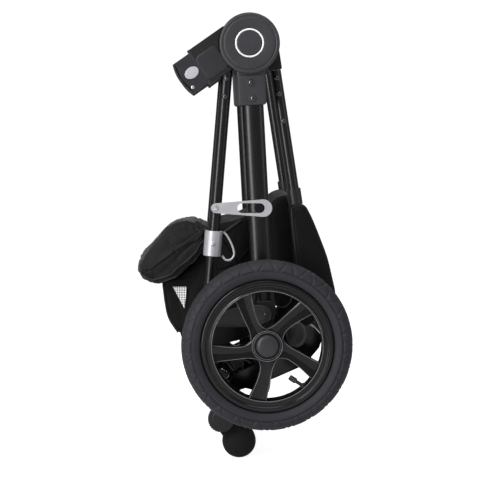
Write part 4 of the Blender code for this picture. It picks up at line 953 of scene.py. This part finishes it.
def cross_grip():
    """Foam grip, thick at its ends, with the two arms that carry it."""
    half = extent("handle_grip")[1] / 2
    x, z = GRIP_X, GRIP_END_R
    profile = [(0.0, -half)]
    for t in np.linspace(0, math.pi / 2, 14)[1:]:
        profile.append((GRIP_END_R * math.sin(t), -half + GRIP_ROUND * (1 - math.cos(t))))
    for t in np.linspace(0, 1, 24)[1:]:
        taper = (GRIP_END_R - GRIP_WAIST_R) * (1 + math.cos(math.pi * t)) / 2
        profile.append((GRIP_WAIST_R + taper, -half + GRIP_ROUND + 0.110 * t))
    profile = np.array(profile)
    profile = np.vstack([profile, profile[::-1] * (1, -1)])
    foam = lathe("foam", profile, x, z, 1, 64)
    arms = []
    angle = math.atan2(z - KNUCKLE[2], x - KNUCKLE[0])
    for _, side in SIDES:
        turns = [math.pi / 2 + math.pi * k / 16 for k in range(17)]
        loop = [from_point((KNUCKLE[0], KNUCKLE[2]), angle + turn, 0.017) for turn in turns]
        loop += [from_point((x, z), angle + turn - math.pi, 0.017) for turn in turns]
        inner = HANDLE_Y - 0.0106
        arm = soft_block("arm", loop, inner - 0.0128, inner, 0.0020)
        arms.append(to_side(arm, side))
    grip = dress(merged("cross_grip", [foam, *arms]), "foam", "grip", "foam", "handle_grip")


COVER = [
    (0.0800, 0.4400), (0.0860, 0.4480), (0.0980, 0.4500), (0.1090, 0.4460), (0.1165, 0.4340),
    (0.1240, 0.4180), (0.1365, 0.3870), (0.1482, 0.3550), (0.1566, 0.3210), (0.1625, 0.2920),
    (0.1590, 0.2690), (0.1430, 0.2510), (0.1240, 0.2400), (0.1090, 0.2330), (0.0960, 0.2420),
    (0.0930, 0.2600), (0.0960, 0.2850), (0.0940, 0.3150), (0.0900, 0.3470), (0.0834, 0.3960),
]


def front_legs():
    """Hub joint, round tube with its sleeve, and panelled leg cover of both front legs."""
    for name, side in SIDES:
        joint = "front_joint_" + name
        kept(joint, joint, 0.0014, "plastic", "front_frame", "black_plastic")
        path = lifted([on_front(d) for d in np.linspace(0.052, 0.342, 24)], side * FRONT_Y)
        tube = pipe("front_leg_" + name, path, ROUND_TUBE_R, ROUND_TUBE_R, 40)
        dress(tube, "paint", "front_frame", "black_paint", "front_tube_" + name)
        loop = loop_through(COVER, 7)
        middle_y = FRONT_Y - 0.0010
        shell = soft_block("shell", loop, middle_y - 0.0180, middle_y + 0.0180, 0.0065)
        inner = loop - loop_normals(loop) * 0.0075
        panel = soft_block("panel", inner, middle_y, middle_y + 0.0196, 0.0022, 0.0008)
        cover = merged("cover_" + name, [to_side(shell, side), to_side(panel, side)])
        dress(cover, "cover", "front_frame", "black_plastic", "leg_cover_" + name)
        sleeve = lifted([on_front(d) for d in np.linspace(0.262, 0.290, 8)], side * FRONT_Y)
        ring = pipe("sleeve_" + name, sleeve, 0.0128, 0.0128, 40)
        dress(ring, "plastic", "front_frame", "black_plastic")


def forks():
    """Both caster forks with the domes over their swivels."""
    for name, side in SIDES:
        kept("fork_" + name, "caster_fork_" + name, 0.0016, "rim", "caster_" + name, "rim_plastic")
        oval = oval_loop((0.0942, 0.2200), math.radians(-8), 0.0200, 0.0248, 72)
        dome = soft_block("dome_" + name, oval, 0.1640, 0.1860, 0.0120, 0.0012, 12)
        dress(to_side(dome, side), "dome", "caster_" + name, "rim_plastic")


def latch_and_clip():
    """Slotted latch plate, saddle clip with its rivet, and wire loop."""
    kept("latch", "latch_plate", 0.0005, "silver", "latch", "silver", 2)
    kept("clip", "saddle_clip", 0.0005, "silver", "handle", "silver", 2)
    x, z = on_handle(0.3500, -0.0004)
    dress(dome_rivet(x, z, HANDLE_Y + 0.0153, -1, 0.0044, 0.0018), "steel", "handle", "silver")
    knots = [(-0.0351, 0.4020), (-0.0290, 0.3960), (-0.0205, 0.3800), (-0.0165, 0.3640), (-0.0220, 0.3545),
             (-0.0310, 0.3535), (-0.0376, 0.3610)]
    wire = pipe("wire", curve_through(lifted(knots, -0.1990), 12), 0.0019, 0.0019, 20)
    dress(wire, "silver", "handle", "silver", "wire_loop")


def tube_rivets():
    """Round heads on the sockets and upper ends of the tubes."""
    spots = (
        ("handle", HANDLE_Y + 0.0122, (on_handle(0.0640), on_handle(0.0950)), "handle"),
        ("front", FRONT_Y + 0.0122, (on_front(0.0660), on_front(0.0940), on_front(0.1420)), "front_frame"),
    )
    for label, face, places, body in spots:
        for name, side in SIDES:
            heads = [dome_rivet(x, z, face, side, 0.0045, 0.0028) for x, z in places]
            dress(merged("rivets_%s_%s" % (label, name), heads), "rivet", body, "black_plastic")


def waves(spots, seed, scale, count=7):
    """A smooth random field: a sum of sines with random directions, lengths near scale and phases."""
    random = np.random.default_rng(seed)
    total = np.zeros(len(spots))
    for _ in range(count):
        direction = random.normal(size=3)
        direction /= np.linalg.norm(direction)
        length = scale * random.uniform(0.6, 1.7)
        total += np.sin(spots @ direction * 2 * math.pi / length + random.uniform(0, 2 * math.pi))
    return total / math.sqrt(count)


def skin_of(mesh):
    """Places and normals of a mesh's vertices."""
    arrays = []
    for name in ("co", "normal"):
        flat = np.empty(len(mesh.vertices) * 3)
        mesh.vertices.foreach_get(name, flat)
        arrays.append(flat.reshape(-1, 3))
    return arrays


def reshape(mesh, spots):
    """Moves a mesh's vertices to new places."""
    mesh.vertices.foreach_set("co", spots.ravel())
    mesh.update()


def creased(obj, seed, swell, swell_scale, crease, crease_scale):
    """Moves a cloth piece along its normals: broad swells, and sharp creases where a wave crosses zero."""
    spots, normals = skin_of(obj.data)
    broad = waves(spots, seed, swell_scale)
    fine = waves(spots + 0.25 * crease_scale * broad[:, None], seed + 1, crease_scale)
    shift = swell * (broad - 1.2) - crease * np.exp(-np.abs(fine) / 0.22)
    reshape(obj.data, spots + normals * shift[:, None])
    return obj


def long_block(name, loop, half, edge, rows, bulge):
    """A closed bag along Y, its loop drawn in by a quarter circle at both ends, with bulging end faces."""
    quarter = np.linspace(0, math.pi / 2, 8)
    fan = np.linspace(0, 0.94, 16)[1:]
    end = [(-half - bulge * (1 - (1 - k) ** 2), edge, k) for k in fan[::-1]]
    end += [(-half + edge * (1 - math.cos(a)), edge * (1 - math.sin(a)), 0.0) for a in quarter]
    body = [(y, 0.0, 0.0) for y in np.linspace(-half + edge, half - edge, rows)[1:-1]]
    other_end = [(-y, draw, pull) for y, draw, pull in end[::-1]]
    return stacked(name, loop, end + body + other_end, 70)


BUNDLE = [
    (-0.1856, 0.3370), (-0.1760, 0.3160), (-0.1590, 0.3080), (-0.1380, 0.3110), (-0.1150, 0.3220),
    (-0.0850, 0.3500), (-0.0600, 0.3850), (-0.0600, 0.4040), (-0.0705, 0.4120), (-0.0860, 0.4180),
    (-0.1070, 0.4180), (-0.1300, 0.4090), (-0.1490, 0.3890), (-0.1700, 0.3610),
]
BASKET = [
    (-0.1445, 0.3090), (-0.1400, 0.2700), (-0.1335, 0.2405), (-0.1170, 0.2140), (-0.0900, 0.2160),
    (-0.0600, 0.2620), (-0.0200, 0.2850), (0.0350, 0.2880), (0.0510, 0.2820), (0.0590, 0.2630),
    (0.0760, 0.2580), (0.0910, 0.2740), (0.0960, 0.3200), (0.0950, 0.4200), (0.0920, 0.4560),
    (0.0800, 0.4630), (0.0640, 0.4590), (0.0500, 0.4490), (0.0340, 0.4400), (0.0100, 0.4280),
    (-0.0150, 0.4180), (-0.0400, 0.4130), (-0.0585, 0.4000), (-0.0585, 0.3845), (-0.0843, 0.3490),
    (-0.1145, 0.3207),
]


def settle(obj, core, frames, held_past):
    """Simulates a loose cloth cover over a stiff core, held at its end faces, and keeps its last frame.

    The cover grows past its cut size (a negative shrink), so that gravity and its own stiffness fold it.
    """
    core.modifiers.new("collide", "COLLISION")
    core.collision.thickness_outer = 0.0015
    core.collision.cloth_friction = 12.0
    held = obj.vertex_groups.new(name="held")
    ends = [v.index for v in obj.data.vertices if abs(v.co.y) > held_past]
    held.add(ends, 1.0, "REPLACE")
    cloth = obj.modifiers.new("cloth", "CLOTH")
    settings = cloth.settings
    settings.vertex_group_mass = "held"
    settings.quality = 6
    settings.mass = 0.25
    settings.tension_stiffness = 25.0
    settings.compression_stiffness = 25.0
    settings.shear_stiffness = 8.0
    settings.bending_stiffness = 0.35
    settings.air_damping = 4.0
    settings.shrink_min = -0.045
    cloth.collision_settings.distance_min = 0.0015
    cloth.collision_settings.collision_quality = 3
    scene = bpy.context.scene
    cloth.point_cache.frame_end = frames
    for step in range(1, frames + 1):
        scene.frame_set(step)
    shaped = bpy.data.meshes.new_from_object(obj.evaluated_get(bpy.context.evaluated_depsgraph_get()))
    obj.modifiers.clear()
    obj.data = shaped
    scene.frame_set(1)


def gather(obj, point, depth):
    """Folds that fan out from a gathered corner (x, z).

    With a the angle about the corner and r the distance from it, the surface sinks by
    depth * (0.5 - 0.5 cos(17 a + 6 sin(3 a) + 14 y))^2 * exp(-(r / 95 mm)^2), faded out within 20 mm of it.
    """
    spots, normals = skin_of(obj.data)
    across = spots[:, 0] - point[0]
    up = spots[:, 2] - point[1]
    angle = np.arctan2(up, across)
    reach = np.hypot(across, up)
    phase = 17 * angle + 6 * np.sin(3 * angle) + spots[:, 1] * 14
    fold = (0.5 - 0.5 * np.cos(phase)) ** 2
    sink = depth * fold * np.exp(-(reach / 0.095) ** 2) * np.clip(reach / 0.02, 0, 1)
    reshape(obj.data, spots - normals * sink[:, None])


def laid_on(obj, path):
    """A path moved to the nearest points of a piece's surface, a hair above it, then smoothed."""
    laid = []
    for point in path:
        _, spot, normal, _ = obj.closest_point_on_mesh(Vector(point))
        laid.append(spot + normal * 0.0006)
    laid = np.array(laid)
    for _ in range(2):
        laid[1:-1] = (laid[:-2] + 2 * laid[1:-1] + laid[2:]) / 4
    return laid


def slump(obj, drop):
    """Lowers a bundle's upper half towards the left side, by up to drop."""
    spots, _ = skin_of(obj.data)
    share = np.clip((spots[:, 1] + 0.16) / 0.32, 0, 1) ** 1.3 * np.clip((spots[:, 2] - 0.33) / 0.06, 0, 1)
    spots[:, 2] -= drop * share
    reshape(obj.data, spots)


FLAP = [
    (-0.1120, 0.2170), (-0.1000, 0.1990), (-0.0700, 0.1900), (-0.0300, 0.1960), (0.0080, 0.2080),
    (0.0210, 0.2300), (0.0180, 0.2600), (0.0100, 0.2950), (-0.0400, 0.3100), (-0.0780, 0.2900),
    (-0.0960, 0.2450),
]
BUNDLE_SEAM = [
    (-0.1840, 0.3345), (-0.1760, 0.3205), (-0.1600, 0.3140), (-0.1400, 0.3190), (-0.1180, 0.3330),
    (-0.0920, 0.3540), (-0.0660, 0.3840),
]
BASKET_EDGE = [(-0.1430, 0.3080), (-0.1385, 0.2700), (-0.1320, 0.2412), (-0.1160, 0.2155)]
STRAP = [(-0.0030, 0.4175), (-0.0160, 0.4080), (-0.0300, 0.3985), (-0.0430, 0.3895)]
NET_CORNERS = ((-0.1249, 0.2986), (-0.0998, 0.2986), (-0.1042, 0.2590))
BUNDLE_HALF = 0.1600
BUNDLE_CORE_HALF = 0.1560
BUNDLE_HELD_PAST = 0.1595
SIMULATED_FRAMES = 26
BUNDLE_GATHER = (-0.0640, 0.4040)


def side_flaps():
    """Folded side panels of the basket, which hang inside the wheels."""
    flaps = [to_side(soft_block("flap", loop_through(FLAP, 8), 0.1232, 0.1262, 0.0014), side)
             for _, side in SIDES]
    panel = creased(merged("basket_flaps", flaps), 31, 0.0002, 0.05, 0.0006, 0.04)
    dress(panel, "basket", "rear_frame", "cloth")


def folded_bundle():
    """Folded cloth bundle between the wheels, settled by a cloth simulation, with a seam on both ends."""
    outline = loop_through(BUNDLE, 9)
    outline = outline - loop_normals(outline) * 0.0026
    bundle = long_block("bundle", outline, BUNDLE_HALF, 0.0180, 84, 0.0030)
    core = long_block("core", loop_through(BUNDLE, 5), BUNDLE_CORE_HALF, 0.0180, 40, 0.0020)
    settle(bundle, core, SIMULATED_FRAMES, BUNDLE_HELD_PAST)
    bpy.data.objects.remove(core, do_unlink=True)
    creased(bundle, 11, 0.0008, 0.070, 0.0016, 0.052)
    gather(bundle, BUNDLE_GATHER, 0.0034)
    slump(bundle, 0.0140)
    dress(bundle, "cloth", "rear_frame", "cloth", "cloth_bundle")
    seams = []
    for _, side in SIDES:
        line = laid_on(bundle, curve_through(lifted(BUNDLE_SEAM, side * 0.1612), 8))
        seams.append(pipe("seam", line, 0.0013, 0.0013, 12))
    dress(merged("bundle_piping", seams), "piping", "rear_frame", "cloth")


def net_panel(side):
    """A thin three-cornered net on one side of the basket."""
    left, right, foot = np.array(NET_CORNERS)
    rows = [(left + (foot - left) * k, right + (foot - right) * k) for k in np.linspace(0, 1, 14)]
    flat = np.empty((14, 12, 3))
    flat[..., ::2] = [[a + (b - a) * w for w in np.linspace(0, 1, 12)] for a, b in rows]
    flat[..., 1] = side * 0.1240
    back = flat.copy()
    back[..., 1] -= side * 0.0004
    return grid_mesh("net", np.concatenate([flat, back[:, ::-1]], axis=1), wrap_v=True, cap_u=True)


def trimmed_basket():
    """Basket with its piping, its straps and a net window on both sides."""
    basket = long_block("basket_cloth", loop_through(BASKET, 8), 0.1200, 0.0100, 60, 0.0015)
    creased(basket, 23, 0.0010, 0.085, 0.0014, 0.060)
    dress(basket, "basket", "rear_frame", "cloth", "basket")
    trims = []
    for _, side in SIDES:
        edge = curve_through(lifted(BASKET_EDGE, side * 0.1175), 10)
        strap = curve_through(lifted(STRAP, side * 0.1215), 10)
        trims += [pipe("trim", edge, 0.0016, 0.0016, 12), pipe("strap", strap, 0.0020, 0.0024, 12)]
    dress(merged("basket_piping", trims), "piping", "rear_frame", "cloth")
    net = merged("net_window", [net_panel(side) for _, side in SIDES])
    dress(net, "net", "rear_frame", "cloth")


GLOSS_SHARE = 0.25
GREY_LIGHT = 0.13
WHITE_LIGHT = 1.05
FLOOR_GLOW = 0.88


def background_rays(tree):
    """How much of the white background a ray meets.

    The camera and rays through glass meet all of it, and gloss a share, because the photograph's black
    tubes keep dark edges.
    """
    rays = tree.nodes.new("ShaderNodeLightPath")
    share = tree.nodes.new("ShaderNodeMath")
    share.operation = "MULTIPLY"
    share.inputs[1].default_value = GLOSS_SHARE
    tree.links.new(rays.outputs["Is Glossy Ray"], share.inputs[0])
    total = share.outputs[0]
    for kind in ("Is Camera Ray", "Is Transmission Ray"):
        larger = tree.nodes.new("ShaderNodeMath")
        larger.operation = "MAXIMUM"
        tree.links.new(total, larger.inputs[0])
        tree.links.new(rays.outputs[kind], larger.inputs[1])
        total = larger.outputs[0]
    return total


def daylight():
    """White to the camera, partly white in gloss, grey as light, with lamps for the tubes' streaks."""
    world = bpy.data.worlds.new("studio")
    bpy.context.scene.world = world
    world.use_nodes = True
    nodes = world.node_tree.nodes
    links = world.node_tree.links
    nodes.clear()
    out = nodes.new("ShaderNodeOutputWorld")
    mix = nodes.new("ShaderNodeMixShader")
    grey = nodes.new("ShaderNodeBackground")
    white = nodes.new("ShaderNodeBackground")
    grey.inputs["Color"].default_value = (0.90, 0.91, 0.93, 1)
    grey.inputs["Strength"].default_value = GREY_LIGHT
    white.inputs["Color"].default_value = (1, 1, 1, 1)
    white.inputs["Strength"].default_value = WHITE_LIGHT
    links.new(background_rays(world.node_tree), mix.inputs["Fac"])
    links.new(grey.outputs["Background"], mix.inputs[1])
    links.new(white.outputs["Background"], mix.inputs[2])
    links.new(mix.outputs["Shader"], out.inputs["Surface"])
    lamps = (
        ("strip_left", (-1.45, -2.00, 1.10), (0.00, 0.0, 0.42), 0.60, 2.4, 58.0),
        ("strip_right", (2.10, -1.20, 1.20), (0.05, 0.0, 0.40), 0.50, 1.8, 7.0),
        ("front", (-0.40, -3.20, 2.60), (0.0, 0.0, 0.45), 1.6, 1.0, 8.0),
        ("top", (0.20, -0.50, 2.40), (0.0, 0.0, 0.40), 1.4, 1.4, 14.0),
        ("back", (0.40, 2.20, 1.80), (0.0, 0.0, 0.40), 1.2, 1.2, 10.0),
    )
    for name, place, target, wide, tall, power in lamps:
        lamp = bpy.data.lights.new(name, "AREA")
        lamp.shape = "RECTANGLE"
        lamp.size = wide
        lamp.size_y = tall
        lamp.energy = power
        obj = bpy.data.objects.new(name, lamp)
        obj.location = place
        aim = Vector(target) - Vector(place)
        obj.rotation_euler = aim.to_track_quat("-Z", "Y").to_euler()
        obj.visible_camera = False
        bpy.context.scene.collection.objects.link(obj)


def floor():
    """A white floor that glows to the camera, to meet the background, and only reflects light otherwise."""
    mesh = bpy.data.meshes.new("floor")
    reach = 3.0
    corners = [(-reach, -reach, 0), (reach, -reach, 0), (reach, reach, 0), (-reach, reach, 0)]
    mesh.from_pydata(corners, [], [(0, 1, 2, 3)])
    obj = bpy.data.objects.new("floor", mesh)
    obj.location = (0, 0, -0.0005)
    bpy.context.scene.collection.objects.link(obj)
    material = bpy.data.materials.new("white_floor")
    material.use_nodes = True
    tree = material.node_tree
    lit = tree.nodes["Principled BSDF"]
    seen = tree.nodes.new("ShaderNodeBsdfPrincipled")
    for shader, glow in ((lit, 0.0), (seen, FLOOR_GLOW)):
        shader.inputs["Base Color"].default_value = (0.8, 0.8, 0.8, 1)
        shader.inputs["Roughness"].default_value = 0.9
        shader.inputs["Specular IOR Level"].default_value = 0.0
        shader.inputs["Emission Color"].default_value = (1, 1, 1, 1)
        shader.inputs["Emission Strength"].default_value = glow
    mix = tree.nodes.new("ShaderNodeMixShader")
    tree.links.new(background_rays(tree), mix.inputs["Fac"])
    tree.links.new(lit.outputs["BSDF"], mix.inputs[1])
    tree.links.new(seen.outputs["BSDF"], mix.inputs[2])
    tree.links.new(mix.outputs["Shader"], tree.nodes["Material Output"].inputs["Surface"])
    mesh.materials.append(material)


CAMERA_PLACE = (-0.071, -2.976, 0.6095)
CAMERA_DOWN = math.radians(3.674)
CAMERA_TURN = math.radians(-1.477)


def photo_camera():
    """The camera, fitted to the photograph: level with the part's upper half, aimed slightly down."""
    data = bpy.data.cameras.new("camera")
    data.lens = 118.0
    data.sensor_width = 36
    data.shift_y = -0.0585
    obj = bpy.data.objects.new("camera", data)
    obj.location = CAMERA_PLACE
    obj.rotation_euler = (math.pi / 2 - CAMERA_DOWN, 0, CAMERA_TURN)
    bpy.context.scene.collection.objects.link(obj)
    bpy.context.scene.camera = obj


finish_nodes()
hub_caps()
rear_legs()
handle_sides()
cross_grip()
front_legs()
forks()
rear_wheels()
front_wheels()
latch_and_clip()
tube_rivets()
folded_bundle()
trimmed_basket()
side_flaps()
daylight()
floor()
photo_camera()
bpy.context.scene.view_settings.view_transform = "Standard"
